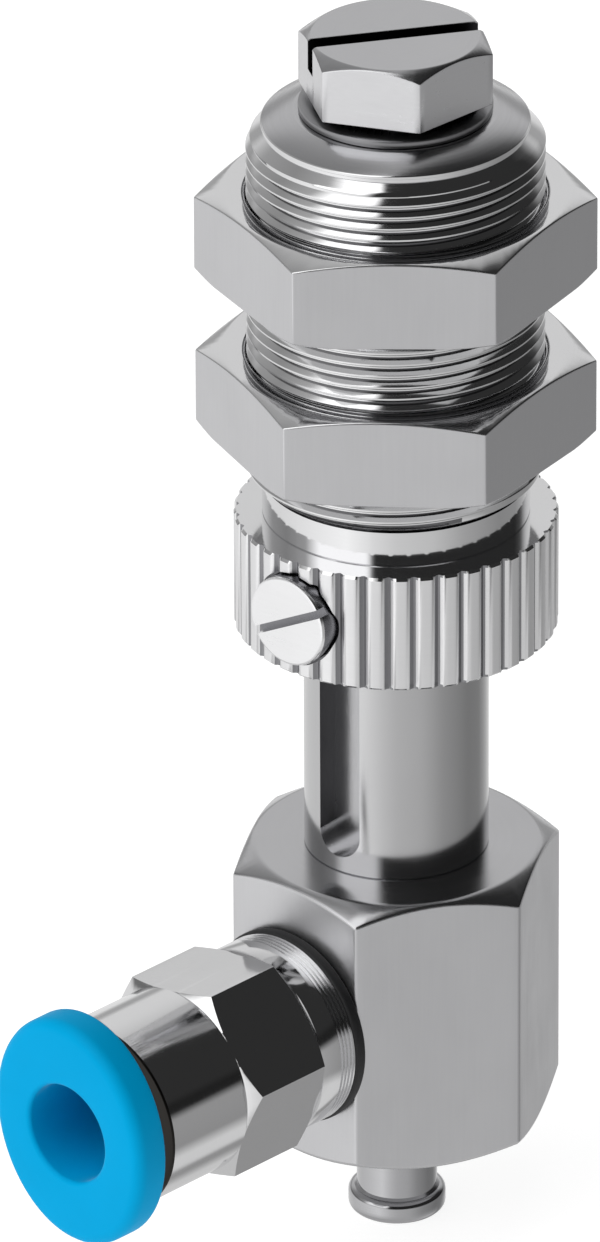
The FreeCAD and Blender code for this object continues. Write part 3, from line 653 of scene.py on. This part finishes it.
def build_floor():
    material, tree, shader = new_material("lit_white_acrylic_table")
    coordinates = axis_coordinates(tree)
    fibre = add(tree, "ShaderNodeTexNoise", Vector=coordinates, Scale=2.0, Detail=4.0).outputs["Fac"]
    colour = tuple(bpy.context.scene.holder_finish.floor)
    shade = add(tree, "ShaderNodeMix", {"data_type": "RGBA"}, i0=fibre, i6=colour + (1,),
                i7=tuple(c * 0.99 for c in colour) + (1,))
    feed(tree, shader, Base_Color=shade.outputs[2], Roughness=0.9, Specular_IOR_Level=0.1,
         Emission_Color=(1, 1, 1, 1), Emission_Strength=0.86)
    bm = bmesh.new()
    bmesh.ops.create_circle(bm, cap_ends=True, segments=64, radius=1.5,
                            matrix=Matrix.Translation((0, 0, CAD_BOX[0][2])))
    mesh = bpy.data.meshes.new("floor")
    bm.to_mesh(mesh)
    bm.free()
    mesh.materials.append(material)
    floor = bpy.data.objects.new("floor", mesh)
    bpy.context.scene.collection.objects.link(floor)
    # The tent's own light stands for what the metal mirrors of the table.
    floor.visible_glossy = False


def build_key_light():
    """A large soft light above and to the left, which lights what isn't a mirror."""
    ahead, right = view_axes()[:2]
    data = bpy.data.lights.new("key", "AREA")
    data.shape = "DISK"
    data.size = 1.2
    data.energy = 3.0
    light = bpy.data.objects.new("key", data)
    bpy.context.scene.collection.objects.link(light)
    away = -ahead * 0.25 - right * 0.35 + UP * 0.45
    light.matrix_world = Matrix.Translation(away) @ away.to_track_quat("Z", "Y").to_matrix().to_4x4()
    light.visible_glossy = False


class HOLDER_OT_stage(bpy.types.Operator):
    """Build the floor, the light and the camera"""
    bl_idname = "holder.stage"
    bl_label = "Stage"

    def execute(self, context):
        context.scene.view_settings.view_transform = "Standard"
        build_world()
        build_floor()
        build_key_light()
        build_camera()
        return {"FINISHED"}


# ---- guide sleeve -----------------------------------------------------------------------
THREAD_BREAK = 0.03     # mm, how far the crests' edges are broken
SLEEVE_EDGE = 0.05      # mm, chamfer at the sleeve's own edges
CHAMBER_JOIN = 1.0      # mm above the lower bush, where the two halves of the chamber meet


def helical_band(crest, root, low, high, pitch, facets):
    """Open band of a right-hand thread, cut level at both ends."""
    broken = crest - THREAD_BREAK
    # Height in shares of the pitch, and radius, up one turn.
    section = [(0.0, broken), (0.06, crest), (0.20, crest), (0.27, broken), (0.66, root), (0.76, root),
               (1.0, broken)]
    bm = bmesh.new()
    start = low - 1.5 * pitch
    verts = [bm.verts.new((radius, 0, start + share * pitch)) for share, radius in section]
    edges = [bm.edges.new(pair) for pair in zip(verts, verts[1:])]
    bmesh.ops.spin(bm, geom=verts + edges, cent=ORIGIN, axis=UP, dvec=UP * (pitch / facets),
                   angle=2 * math.pi, steps=facets, use_merge=False)
    one_turn = bm.verts[:] + bm.edges[:] + bm.faces[:]
    for turn in range(1, math.ceil((high - low) / pitch) + 3):
        copy = bmesh.ops.duplicate(bm, geom=one_turn)["geom"]
        bmesh.ops.translate(bm, vec=UP * turn * pitch, verts=verts_of(copy))
    bmesh.ops.remove_doubles(bm, verts=bm.verts, dist=WELD)
    for level, side in ((low, -1), (high, 1)):
        bmesh.ops.bisect_plane(bm, geom=bm.verts[:] + bm.edges[:] + bm.faces[:], dist=WELD,
                               plane_co=UP * level, plane_no=UP * side, clear_outer=True)
    return bm


def end_loop(bm, level):
    """Open edges of a band at one of its ends."""
    return [e for e in bm.edges if e.is_boundary and all(abs(v.co.z - level) < 0.01 for v in e.verts)]


class HOLDER_OT_guide_sleeve(bpy.types.Operator):
    """Build the guide sleeve with its mounting thread"""
    bl_idname = "holder.guide_sleeve"
    bl_label = "Guide sleeve"

    def execute(self, context):
        shape = context.scene.holder_shape
        pitch, depth = mm(shape.thread_pitch), mm(shape.thread_depth)
        low, high = mm(shape.thread_low), mm(shape.thread_high)
        plain = mm(shape.plain_radius)
        bm = helical_band(THREAD_R, THREAD_R - depth, low, high, pitch, ROUND)
        # Both ends of the thread run down to the plain radius over a lead-in cone.
        lead = THREAD_R - plain + 0.1
        for vert in bm.verts:
            room = min(vert.co.z - low, high - vert.co.z)
            limit = THREAD_R - max(0.0, lead - 1.2 * room)
            radius = math.hypot(vert.co.x, vert.co.y)
            if radius > limit:
                vert.co.x *= limit / radius
                vert.co.y *= limit / radius
        top, rim = SLEEVE_HIGH.z, mm(shape.top_radius)
        neck = high + mm(shape.top_neck)
        flange = 0.75       # how far the upper bush's flange stands out
        bush, chamber = UPPER_BUSH_HIGH.x - flange, UPPER_BUSH_HIGH.x
        upper = grow(bm, end_loop(bm, high), [
            (plain - SLEEVE_EDGE, high), (plain - SLEEVE_EDGE, high + 0.12), (plain, high + 0.16),
            (plain, neck - 0.04), (plain - 0.04, neck), (rim + 0.04, top - 0.01), (rim, top),
            (bush + SLEEVE_EDGE, top), (bush, top - SLEEVE_EDGE), (bush, UPPER_BUSH_LOW.z),
            (chamber, UPPER_BUSH_LOW.z), (chamber, LOWER_BUSH_HIGH.z + CHAMBER_JOIN)])
        journal, counterbore = mm(shape.journal_radius), LOWER_BUSH_HIGH.x
        lower = grow(bm, end_loop(bm, low), [
            (plain, low), (plain, RING_HIGH.z + SLEEVE_EDGE), (plain - SLEEVE_EDGE, RING_HIGH.z),
            (journal, RING_HIGH.z), (journal, SLEEVE_LOW.z), (counterbore, SLEEVE_LOW.z),
            (counterbore, LOWER_BUSH_HIGH.z), (chamber, LOWER_BUSH_HIGH.z)])
        bmesh.ops.bridge_loops(bm, edges=upper + lower)
        bmesh.ops.remove_doubles(bm, verts=bm.verts, dist=WELD)
        give_finish(bm, 1, lambda face: face.calc_center_median().z > neck)

        def faces_down_on_thread(face):
            middle = face.calc_center_median()
            slope = face.normal.z * math.copysign(1, face.normal.xy.dot(middle.xy))
            return low < middle.z < high and middle.xy.length > plain - 0.6 and slope < -0.15

        # Painted shade: the thread's flanks that face down take the darker flank finish.
        give_finish(bm, 2, faces_down_on_thread)
        finish_piece(bm, "threaded_guide_sleeve", "guide", ["guide_sleeve"],
                     [bright_nickel(), dull_nickel_end(), painted_shade_flank_nickel()])
        return {"FINISHED"}


# ---- lock nuts --------------------------------------------------------------------------
def hexagon_rings(flats, low, high, slope_deg, inset, top=True, bottom=True):
    """Outer rings of a hexagon faced to a cone, from its lower to its upper face."""
    start = flats / 2 - inset
    sides = hexagon(flats)
    rings = [(start, low), (sides, cone(start, low, slope_deg))] if bottom else [(sides, low)]
    rings += [(sides, cone(start, high, -slope_deg)), (start, high)] if top else [(sides, high)]
    return rings


def broken_corners(flats, start, level, slope_deg):
    """Rings of a hexagon's end whose corners alone are taken off; the slope is negative at an upper end."""
    sides = hexagon(flats)
    slope = math.tan(math.radians(slope_deg))
    return [(lambda angle: min(sides(angle), start), level),
            (sides, lambda radius: level + max(0.0, radius - start) * slope)]


NUT_SLOPE = 18          # degrees, chamfer of the nuts' faces
NUT_TURNS = (("upper", 43.4, UPPER_NUT_LOW.z, UPPER_NUT_HIGH.z),
             ("lower", 40.2, LOWER_NUT_LOW.z, LOWER_NUT_HIGH.z))


class HOLDER_OT_lock_nuts(bpy.types.Operator):
    """Build the two lock nuts"""
    bl_idname = "holder.lock_nuts"
    bl_label = "Lock nuts"

    def execute(self, context):
        shape = context.scene.holder_shape
        flats, lead = mm(shape.nut_flats), mm(shape.nut_lead)
        bore = THREAD_R + 0.03
        corner_start = flats / 2 + 0.45
        materials = [satin_nickel_flat(), faced_nickel()]
        for name, turn, low, high in NUT_TURNS:
            upper_end = hexagon_rings(flats, low, high, NUT_SLOPE, mm(shape.nut_chamfer_inset), bottom=False)
            bm = turned(broken_corners(flats, corner_start, low, NUT_SLOPE) + upper_end[1:]
                        + [(bore + lead, high), (bore, high - lead), (bore, low)])
            soften(bm, mm(shape.nut_edge), over=14)
            give_finish(bm, 1, faces_up_or_down)
            moved(bm, turn_about("Z", turn))
            nut = name + "_nut"
            finish_piece(bm, nut, nut, [name + "_lock_nut"], materials)
        return {"FINISHED"}


# ---- knurled ring and guide screw -------------------------------------------------------
GUIDE_TURN = math.radians(-85.5)
GUIDE_HEAD_R = 1.9
GUIDE_HEAD_T = 1.1      # mm, thickness of the head
GUIDE_HEAD_GAP = 0.1    # mm, between the head and its recess
GUIDE_FACE = 6.95       # mm, from the main axis to the head's face
GUIDE_SHANK_R = 1.25
GUIDE_DOG_R = 0.98      # mm, the dog that runs in the plunger's groove
GUIDE_DOG_TIP = 2.95    # mm, from the main axis to the dog's end
GUIDE_SLOT_WIDTH = 0.34
GUIDE_SLOT_DEPTH = 0.45
GUIDE_SLOT_TURN = 118   # degrees about the screw's own axis
FIRST_FLUTE = 5.2       # degrees
GUIDE_Z = (GUIDE_SCREW_LOW.z + GUIDE_SCREW_HIGH.z) / 2


def to_guide_screw():
    """Turns a shape built along +Z to the axis of the guide screw."""
    return Matrix.Translation((0, 0, GUIDE_Z)) @ Matrix.Rotation(GUIDE_TURN, 4, "Z") @ turn_about("Y", 90)


def fluted(radius, depth, count, first_deg):
    """Radius round a ring with smooth flutes."""
    def at(angle):
        turns = (angle - math.radians(first_deg)) * count / (2 * math.pi)
        off = abs(turns - round(turns)) / 0.30
        return radius - (depth * math.cos(off * math.pi / 2) ** 2 if off < 1 else 0.0)
    return at


class HOLDER_OT_knurled_ring(bpy.types.Operator):
    """Build the knurled ring"""
    bl_idname = "holder.knurled_ring"
    bl_label = "Knurled ring"

    def execute(self, context):
        shape = context.scene.holder_shape
        edge = mm(shape.ring_chamfer)
        crest = RING_HIGH.x
        count = shape.flutes
        wall = fluted(crest, mm(shape.flute_depth), count, FIRST_FLUTE)

        def rim(angle):
            return min(wall(angle), crest - edge)

        low, high = RING_LOW.z, RING_HIGH.z
        bore, mouth = mm(shape.journal_radius) + 0.02, ROD_HIGH.x + 0.2
        bm = turned([
            (mouth, low), (rim, low), (wall, low + edge), (wall, high - edge), (rim, high), (bore, high),
            (bore, SLEEVE_LOW.z - 0.02), (mouth, SLEEVE_LOW.z - 0.02)], facets=count * 12)
        recess_r = GUIDE_HEAD_R + GUIDE_HEAD_GAP
        recess = turned([(recess_r, GUIDE_FACE - GUIDE_HEAD_T), (recess_r, crest + REACH)], facets=64,
                        bored=False)
        bm = carve(bm, moved(recess, to_guide_screw()))
        give_finish(bm, 1, faces_up_or_down)
        # Painted shade: faces deep in the flutes take the darker valley finish.
        valley = crest - 0.6 * mm(shape.flute_depth)
        give_finish(bm, 2, lambda face: (face.material_index == 0
                                         and face.calc_center_median().xy.length < valley))
        finish_piece(bm, "fluted_grip_ring", "guide", ["knurled_ring"],
                     [knurled_nickel(), faced_nickel(), painted_shade_flute_valley()])
        return {"FINISHED"}


class HOLDER_OT_guide_screw(bpy.types.Operator):
    """Build the slotted guide screw"""
    bl_idname = "holder.guide_screw"
    bl_label = "Guide screw"

    def execute(self, context):
        seat = GUIDE_FACE - GUIDE_HEAD_T
        head = GUIDE_HEAD_R
        bush = LOWER_BUSH_HIGH.x
        bm = turned([
            (GUIDE_DOG_R, GUIDE_DOG_TIP), (GUIDE_DOG_R, bush), (GUIDE_SHANK_R, bush), (GUIDE_SHANK_R, seat),
            (head - 0.05, seat), (head, seat + 0.05), (head, GUIDE_FACE - 0.15),
            (head - 0.045, GUIDE_FACE - 0.045), (head - 0.15, GUIDE_FACE)], facets=64, bored=False)
        slot = saw_slot(2 * head + REACH, GUIDE_SLOT_WIDTH, GUIDE_SLOT_DEPTH, GUIDE_FACE, GUIDE_SLOT_TURN)
        bm = carve(bm, slot)
        # Painted shade: the head's side, its slot and everything below its face take the dark steel.
        give_finish(bm, 1, lambda face: face.calc_center_median().z < GUIDE_FACE - 0.1)
        moved(bm, to_guide_screw())
        # The slot's wall that faces up is as bright as the head.
        give_finish(bm, 0, lambda face: face.normal.z > 0.5 and face.calc_area() > 0.5)
        finish_piece(bm, "slotted_guide_screw", "guide", ["guide_screw"],
                     [guide_screw_steel(), spring_strip_and_painted_shade()])
        return {"FINISHED"}


# ---- stop screw and washers -------------------------------------------------------------
STOP_SHANK_R = 2.0
STOP_SLOT_WIDTH = 0.8
STOP_SLOT_DEPTH = 1.3
STOP_TURN = -32.2       # degrees
WASHER_PLAY = 0.04      # mm, between the shank and its washers
WASHER_SPLIT = 0.5      # mm, the gap in the lock washer


class HOLDER_OT_stop_screw(bpy.types.Operator):
    """Build the stop screw, its washer and its lock washer"""
    bl_idname = "holder.stop_screw"
    bl_label = "Stop screw and washers"

    def execute(self, context):
        shape = context.scene.holder_shape
        seat, top = LOCK_WASHER_HIGH.z, HEAD_HIGH.z
        shank, end_chamfer = STOP_SHANK_R, 0.2
        bm = turned([(shank - end_chamfer, HEAD_LOW.z), (shank, HEAD_LOW.z + end_chamfer), (shank, seat)]
                    + hexagon_rings(mm(shape.head_flats), seat, top, 30, 0.12, bottom=False), bored=False)
        bm = carve(bm, saw_slot(10, STOP_SLOT_WIDTH, STOP_SLOT_DEPTH, top, 90))
        soften(bm, 0.05, over=24, where=lambda e: all(v.co.z > seat - 0.01 for v in e.verts))

        def in_slot(face):
            middle = face.calc_center_median()
            return (abs(middle.x) < STOP_SLOT_WIDTH / 2 + 0.01
                    and top - STOP_SLOT_DEPTH - 0.01 < middle.z < top - 0.06)

        give_finish(bm, 1, faces_up_or_down)
        # Painted shade: the slot's walls and floor take the dark slot finish.
        give_finish(bm, 2, in_slot)
        moved(bm, turn_about("Z", STOP_TURN))
        finish_piece(bm, "slotted_stop_screw", "plunger", ["stop_screw"],
                     [screw_steel(), dull_nickel_end(), painted_shade_slot_steel()])

        hole = STOP_SHANK_R + WASHER_PLAY
        low, high, rim = STOP_WASHER_LOW.z, STOP_WASHER_HIGH.z, STOP_WASHER_HIGH.x
        bm = turned([(hole, low), (rim, low), (rim, high), (hole, high)])
        soften(bm, 0.07)
        finish_piece(bm, "flat_stop_washer", "plunger", ["stop_washer"], [pressed_steel()])

        low, high, rim = LOCK_WASHER_LOW.z, LOCK_WASHER_HIGH.z, LOCK_WASHER_HIGH.x
        half = math.asin(WASHER_SPLIT / 2 / rim)
        bm = bmesh.new()
        corners = [bm.verts.new(Matrix.Rotation(half, 3, "Z") @ Vector(c)) for c in (
            (hole, 0, low), (rim, 0, low), (rim, 0, high), (hole, 0, high))]
        face = bm.faces.new(corners)
        bmesh.ops.spin(bm, geom=[face], cent=ORIGIN, axis=UP, angle=2 * math.pi - 2 * half, steps=72,
                       use_merge=False, use_duplicate=True)
        bmesh.ops.remove_doubles(bm, verts=bm.verts, dist=WELD)
        bmesh.ops.recalc_face_normals(bm, faces=bm.faces)
        soften(bm, 0.05)
        moved(bm, turn_about("Z", 90))
        finish_piece(bm, "split_lock_washer", "plunger", ["lock_washer"], [spring_strip_and_painted_shade()])
        return {"FINISHED"}


# ---- spring -----------------------------------------------------------------------------
def plunger_stroke():
    """Millimetres that the plunger travels."""
    return mm(max(joint["range_m"][1] for joint in frame["record"]["behaviour"]["joints"]
                  if joint["name"] == "plunger_stroke"))


class HOLDER_OT_compression_spring(bpy.types.Operator):
    """Build the compression spring and give it a mesh of its own; on the real holder it shortens as the
    plunger rises
    """
    bl_idname = "holder.compression_spring"
    bl_label = "Compression spring"

    def execute(self, context):
        shape = context.scene.holder_shape
        half = mm(shape.spring_wire) / 2
        turns, steps = shape.spring_turns, 40       # steps in one turn
        low, high = SPRING_LOW.z + half, SPRING_HIGH.z - half
        bm = bmesh.new()
        wire = bmesh.ops.create_circle(
            bm, cap_ends=False, segments=12, radius=half,
            matrix=Matrix.Translation((SPRING_HIGH.x - half, 0, low)) @ turn_about("X", 90))
        bmesh.ops.spin(bm, geom=wire["verts"] + bm.edges[:], cent=ORIGIN, axis=UP, angle=2 * math.pi * turns,
                       dvec=UP * (high - low) / (turns * steps), steps=turns * steps, use_merge=False)
        bmesh.ops.holes_fill(bm, edges=[e for e in bm.edges if e.is_boundary], sides=0)
        spring = finish_piece(bm, "coiled_spring", "guide", ["compression_spring"],
                              [spring_wire()])
        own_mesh(spring)
        return {"FINISHED"}


# ---- plunger ----------------------------------------------------------------------------
STEM_R = 2.75           # mm, the stem through the sleeve's top
SPIGOT_R = 3.0          # mm, the rod's lower end, screwed into the body
STOP_HOLE_R = 2.01      # mm, the hole for the stop screw
STOP_HOLE_DEPTH = 6.0
GROOVE_HALF = 1.04      # mm, half the groove's width
GROOVE_DEPTH = 1.1
GROOVE_RUNOUT = 0.9     # mm, groove left past the dog at both ends of the stroke


class HOLDER_OT_plunger_rod(bpy.types.Operator):
    """Build the plunger rod with its guide groove"""
    bl_idname = "holder.plunger_rod"
    bl_label = "Plunger rod"

    def execute(self, context):
        radius = ROD_HIGH.x
        foot, shoulder, end = BODY_HIGH.z, SEAT_WASHER_LOW.z, ROD_HIGH.z
        chamfer, edge = 0.3, 0.05
        spigot_edge = ROD_LOW.z + 0.2
        bm = turned([
            (SPIGOT_R - 0.2, ROD_LOW.z), (SPIGOT_R, spigot_edge), (SPIGOT_R, foot), (radius - edge, foot),
            (radius, foot + edge), (radius, shoulder - chamfer), (radius - chamfer, shoulder),
            (STEM_R, shoulder), (STEM_R, end), (STOP_HOLE_R, end), (STOP_HOLE_R, end - STOP_HOLE_DEPTH)],
            facets=120, bored=False)

        stroke = plunger_stroke()
        reach = GUIDE_DOG_R + GROOVE_RUNOUT
        straight = stroke + 2 * reach - 2 * GROOVE_HALF
        groove = bmesh.new()
        bmesh.ops.create_circle(groove, cap_ends=True, segments=48, radius=GROOVE_HALF)
        for vert in groove.verts:
            vert.co.x += straight / 2 if vert.co.x > 0 else -straight / 2
        lifted = bmesh.ops.extrude_face_region(groove, geom=groove.faces[:])["geom"]
        bmesh.ops.translate(groove, vec=UP * 3.0, verts=verts_of(lifted))
        moved(groove, Matrix.Translation((stroke / 2, 0, radius - GROOVE_DEPTH)))
        bm = carve(bm, moved(groove, to_guide_screw()))

        side = Vector((math.cos(GUIDE_TURN), math.sin(GUIDE_TURN), 0))

        def in_groove(face):
            middle = face.calc_center_median()
            return (middle.xy.length < radius - 0.02 and middle.dot(side) > radius - GROOVE_DEPTH - 0.02
                    and spigot_edge < middle.z < GUIDE_Z + reach + 0.1)

        def on_painted_shade_groove_wall(face):
            return (face.material_index == 1 and abs(face.normal.z) < 0.05
                    and abs(face.normal.dot(side)) < 0.5)

        give_finish(bm, 1, in_groove)
        # Painted shade: the groove's side walls take the dark wall finish.
        give_finish(bm, 2, on_painted_shade_groove_wall)
        finish_piece(bm, "grooved_plunger_rod", "plunger", ["plunger_rod"],
                     [ground_steel(), milled_steel(), painted_shade_groove_wall_steel()])
        return {"FINISHED"}


PORT_THREAD_R = 2.5     # mm, the threads of the nipple and of the tube connector
VACUUM_R = 1.25         # mm, the passage through the body
FIT = 0.01              # mm, play of a screwed joint


class HOLDER_OT_hex_body(bpy.types.Operator):
    """Build the hexagonal body"""
    bl_idname = "holder.hex_body"
    bl_label = "Hexagonal body"

    def execute(self, context):
        shape = context.scene.holder_shape
        low, high = BODY_LOW.z, BODY_HIGH.z
        seal_top = NIPPLE_HIGH.z + 0.8      # the flat seal lies on the nipple's thread
        bm = turned(hexagon_rings(mm(shape.body_flats), low, high, 30, 0.2) + [
            (SPIGOT_R + FIT, high), (SPIGOT_R + FIT, ROD_LOW.z), (VACUUM_R, ROD_LOW.z),
            (VACUUM_R, seal_top), (PORT_THREAD_R + FIT, seal_top), (PORT_THREAD_R + FIT, low)])
        soften(bm, mm(shape.body_edge), over=20, where=lambda e: all(v.co.xy.length > 5 for v in e.verts))
        port = turned([(PORT_THREAD_R + FIT, -CONNECTOR_HIGH.y),
                       (PORT_THREAD_R + FIT, mm(shape.body_flats) / 2 + REACH)], facets=64, bored=False)
        bm = carve(bm, moved(port, TO_PORT))
        give_finish(bm, 1, faces_up_or_down)
        finish_piece(bm, "hexagonal_body", "plunger", ["hex_body"],
                     [satin_nickel_flat(), dull_nickel_end()])
        return {"FINISHED"}


BEAD_R = 2.0
BEAD_HEIGHT = 1.0
BEAD_ROUND = 0.3
NECK_R = 1.65
NIPPLE_BORE_R = 1.0


class HOLDER_OT_suction_nipple(bpy.types.Operator):
    """Build the beaded nipple for the suction cup"""
    bl_idname = "holder.suction_nipple"
    bl_label = "Suction nipple"

    def execute(self, context):
        tip, bead_top, top = NIPPLE_LOW.z, NIPPLE_LOW.z + BEAD_HEIGHT, NIPPLE_HIGH.z
        centre = BEAD_R - BEAD_ROUND
        steps = quarter(5)
        lower = [(centre + BEAD_ROUND * math.sin(a), tip + BEAD_ROUND - BEAD_ROUND * math.cos(a))
                 for a in steps]
        upper = [(centre + BEAD_ROUND * math.cos(a), bead_top - BEAD_ROUND + BEAD_ROUND * math.sin(a))
                 for a in steps]
        bm = turned([(NIPPLE_BORE_R + 0.15, tip)] + lower + upper + [
            (NECK_R + 0.1, bead_top), (NECK_R, bead_top + 0.1), (NECK_R, BODY_LOW.z),
            (PORT_THREAD_R, BODY_LOW.z), (PORT_THREAD_R, top), (NIPPLE_BORE_R, top),
            (NIPPLE_BORE_R, tip + 0.15)], facets=72)
        finish_piece(bm, "beaded_nipple", "plunger", ["suction_nipple"], [nipple_nickel()])
        return {"FINISHED"}


# ---- tube connector ---------------------------------------------------------------------
# Millimetres from the main axis along the port, and radii.
HEX_START = 8.45
HEX_END = 12.75
TUBE_STOP = 8.75
COLLAR_R = 4.05
COLLAR_LENGTH = 0.82    # mm of ridges
RIDGES = 4
RIDGE_PITCH = 0.2
RIDGE_DEPTH = 0.12
BARREL_R = 3.95
TUBE_BORE_R = 2.05
CONNECTOR_TURN = 9.3    # degrees


class HOLDER_OT_tube_connector(bpy.types.Operator):
    """Build the tube connector and its sealing ring"""
    bl_idname = "holder.tube_connector"
    bl_label = "Tube connector"

    def execute(self, context):
        shape = context.scene.holder_shape
        face, end, start = -PORT_SEAL_LOW.y, -CONNECTOR_LOW.y, -CONNECTOR_HIGH.y
        flats = mm(shape.connector_flats)
        valley = COLLAR_R - RIDGE_DEPTH
        ridges = []
        for i in range(RIDGES):
            at = face + RIDGE_PITCH * i
            ridges += [(COLLAR_R, at + 0.02), (COLLAR_R, at + 0.10), (valley, at + 0.13), (valley, at + 0.18)]
        seal_at = -TUBE_SEAL_HIGH.y
        pocket = (INSERT_HIGH.z - INSERT_LOW.z) / 2
        bm = turned([(VACUUM_R, start), (PORT_THREAD_R, start), (PORT_THREAD_R, face), (valley, face)]
                    + ridges + [(COLLAR_R, face + COLLAR_LENGTH), (COLLAR_R, HEX_START)]
                    + hexagon_rings(flats, HEX_START, HEX_END, 30, 0.02, top=False)[:-1]
                    + broken_corners(flats, BARREL_R, HEX_END, -30)[::-1]
                    + [(BARREL_R, HEX_END), (BARREL_R, end - 0.15), (BARREL_R - 0.04, end - 0.05),
                       (BARREL_R - 0.15, end), (pocket, end), (pocket, seal_at), (TUBE_BORE_R, seal_at),
                       (TUBE_BORE_R, TUBE_STOP), (VACUUM_R, TUBE_STOP)])

        def on_hexagon(edge):
            return all(HEX_START - 0.05 < v.co.z < HEX_END - 0.02 and v.co.xy.length > BARREL_R - 0.05
                       for v in edge.verts)

        soften(bm, 0.015, over=24, where=on_hexagon)
        # Painted shade: the end face and its chamfer, in the gap under the release ring, take the dark
        # finish.
        give_finish(bm, 1, lambda face: face.calc_center_median().z > end - 0.14)
        moved(bm, turn_about("Z", CONNECTOR_TURN))
        moved(bm, TO_PORT)
        finish_piece(bm, "tube_connector", "plunger", ["fitting_body"],
                     [bright_nickel_port(), shadowed_end()])

        seat, rim = -PORT_SEAL_HIGH.y, PORT_SEAL_HIGH.x
        hole = PORT_THREAD_R + FIT
        bm = turned([(hole, seat), (rim, seat), (rim, face), (hole, face)])
        soften(bm, 0.2, segments=4)
        moved(bm, TO_PORT)
        finish_piece(bm, "port_sealing_ring", "plunger", ["port_seal"], [black_rubber()])
        return {"FINISHED"}


RELEASE_TURN = 8.6      # degrees, the oval about the port's axis
RELEASE_BORE_R = 2.1
RELEASE_SLEEVE_R = 2.35
BACK_ROUND = 0.2
FRONT_ROUND = 0.5
MOUTH_ROUND = 0.2
BARB = 0.2              # mm, the barb that the insert holds


class HOLDER_OT_release_ring(bpy.types.Operator):
    """Build the blue release ring"""
    bl_idname = "holder.release_ring"
    bl_label = "Release ring"

    def execute(self, context):
        shape = context.scene.holder_shape
        half_x, half_y = mm(shape.release_half_width), mm(shape.release_half_height)
        front, nose = -RELEASE_LOW.y, -RELEASE_HIGH.y
        back = -CONNECTOR_LOW.y + mm(shape.release_gap)
        bore, sleeve, barb = RELEASE_BORE_R, RELEASE_SLEEVE_R, RELEASE_SLEEVE_R + BARB
        steps = quarter(6)

        def inset(by):
            return oval(half_x - by, half_y - by)

        back_edge = [(inset(BACK_ROUND * (1 - math.sin(a))), back + BACK_ROUND * (1 - math.cos(a)))
                     for a in steps]
        front_edge = [(inset(FRONT_ROUND * (1 - math.cos(a))), front - FRONT_ROUND * (1 - math.sin(a)))
                      for a in steps]
        mouth = [(bore + MOUTH_ROUND * (1 - math.sin(a)), front - MOUTH_ROUND * (1 - math.cos(a)))
                 for a in steps]
        bm = turned([(bore, nose), (sleeve, nose), (barb, nose + BARB), (barb, nose + 2 * BARB),
                     (sleeve, nose + 2 * BARB), (sleeve, back)] + back_edge + front_edge + mouth)
        moved(bm, turn_about("Z", RELEASE_TURN))
        moved(bm, TO_PORT)
        ring = finish_piece(bm, "oval_release_ring", "release", ["release_ring"],
                            [blue_acetal()])
        # The metal beside it would mirror it as a blue patch, so reflections leave it out.
        ring.visible_glossy = False
        return {"FINISHED"}


class HOLDER_OT_inner_parts(bpy.types.Operator):
    """Give the pieces that stay as the CAD model has them their materials"""
    bl_idname = "holder.inner_parts"
    bl_label = "Inner parts"

    def execute(self, context):
        finishes = {
            "upper_bush": bearing_polymer(), "lower_bush": bearing_polymer(),
            "spring_seat_washer": faced_nickel(), "rod_seal": black_rubber(), "nipple_seal": black_rubber(),
            "tube_seal": black_rubber(), "grab_ring": spring_strip_and_painted_shade(), "insert_bush": turned_brass()}
        for node, material in finishes.items():
            for slot in frame["nodes"][node].material_slots:
                slot.material = material
        return {"FINISHED"}


# ---- panel and registration -------------------------------------------------------------
OPERATORS = (HOLDER_OT_stage, HOLDER_OT_guide_sleeve, HOLDER_OT_lock_nuts, HOLDER_OT_knurled_ring,
             HOLDER_OT_guide_screw, HOLDER_OT_stop_screw, HOLDER_OT_compression_spring,
             HOLDER_OT_plunger_rod, HOLDER_OT_hex_body, HOLDER_OT_suction_nipple,
             HOLDER_OT_tube_connector, HOLDER_OT_release_ring, HOLDER_OT_inner_parts)


class HOLDER_PT_panel(bpy.types.Panel):
    """Sizes, colours and build steps of the suction cup holder"""
    bl_idname = "HOLDER_PT_panel"
    bl_label = "Suction cup holder"
    bl_space_type = "VIEW_3D"
    bl_region_type = "UI"
    bl_category = "Cup holder"

    def draw(self, context):
        for group in (context.scene.holder_shape, context.scene.holder_finish):
            box = self.layout.box()
            for name in group.__annotations__:
                box.prop(group, name)
        for operator in OPERATORS:
            self.layout.operator(operator.bl_idname)


CLASSES = (HolderShape, HolderFinish) + OPERATORS + (HOLDER_PT_panel,)


def register():
    for cls in CLASSES:
        bpy.utils.register_class(cls)
    bpy.types.Scene.holder_shape = PointerProperty(type=HolderShape)
    bpy.types.Scene.holder_finish = PointerProperty(type=HolderFinish)


def unregister():
    del bpy.types.Scene.holder_finish
    del bpy.types.Scene.holder_shape
    for cls in reversed(CLASSES):
        bpy.utils.unregister_class(cls)


def main():
    register()
    for operator in OPERATORS:
        getattr(bpy.ops.holder, operator.bl_idname.split(".")[1])()


if __name__ == "__main__":
    main()
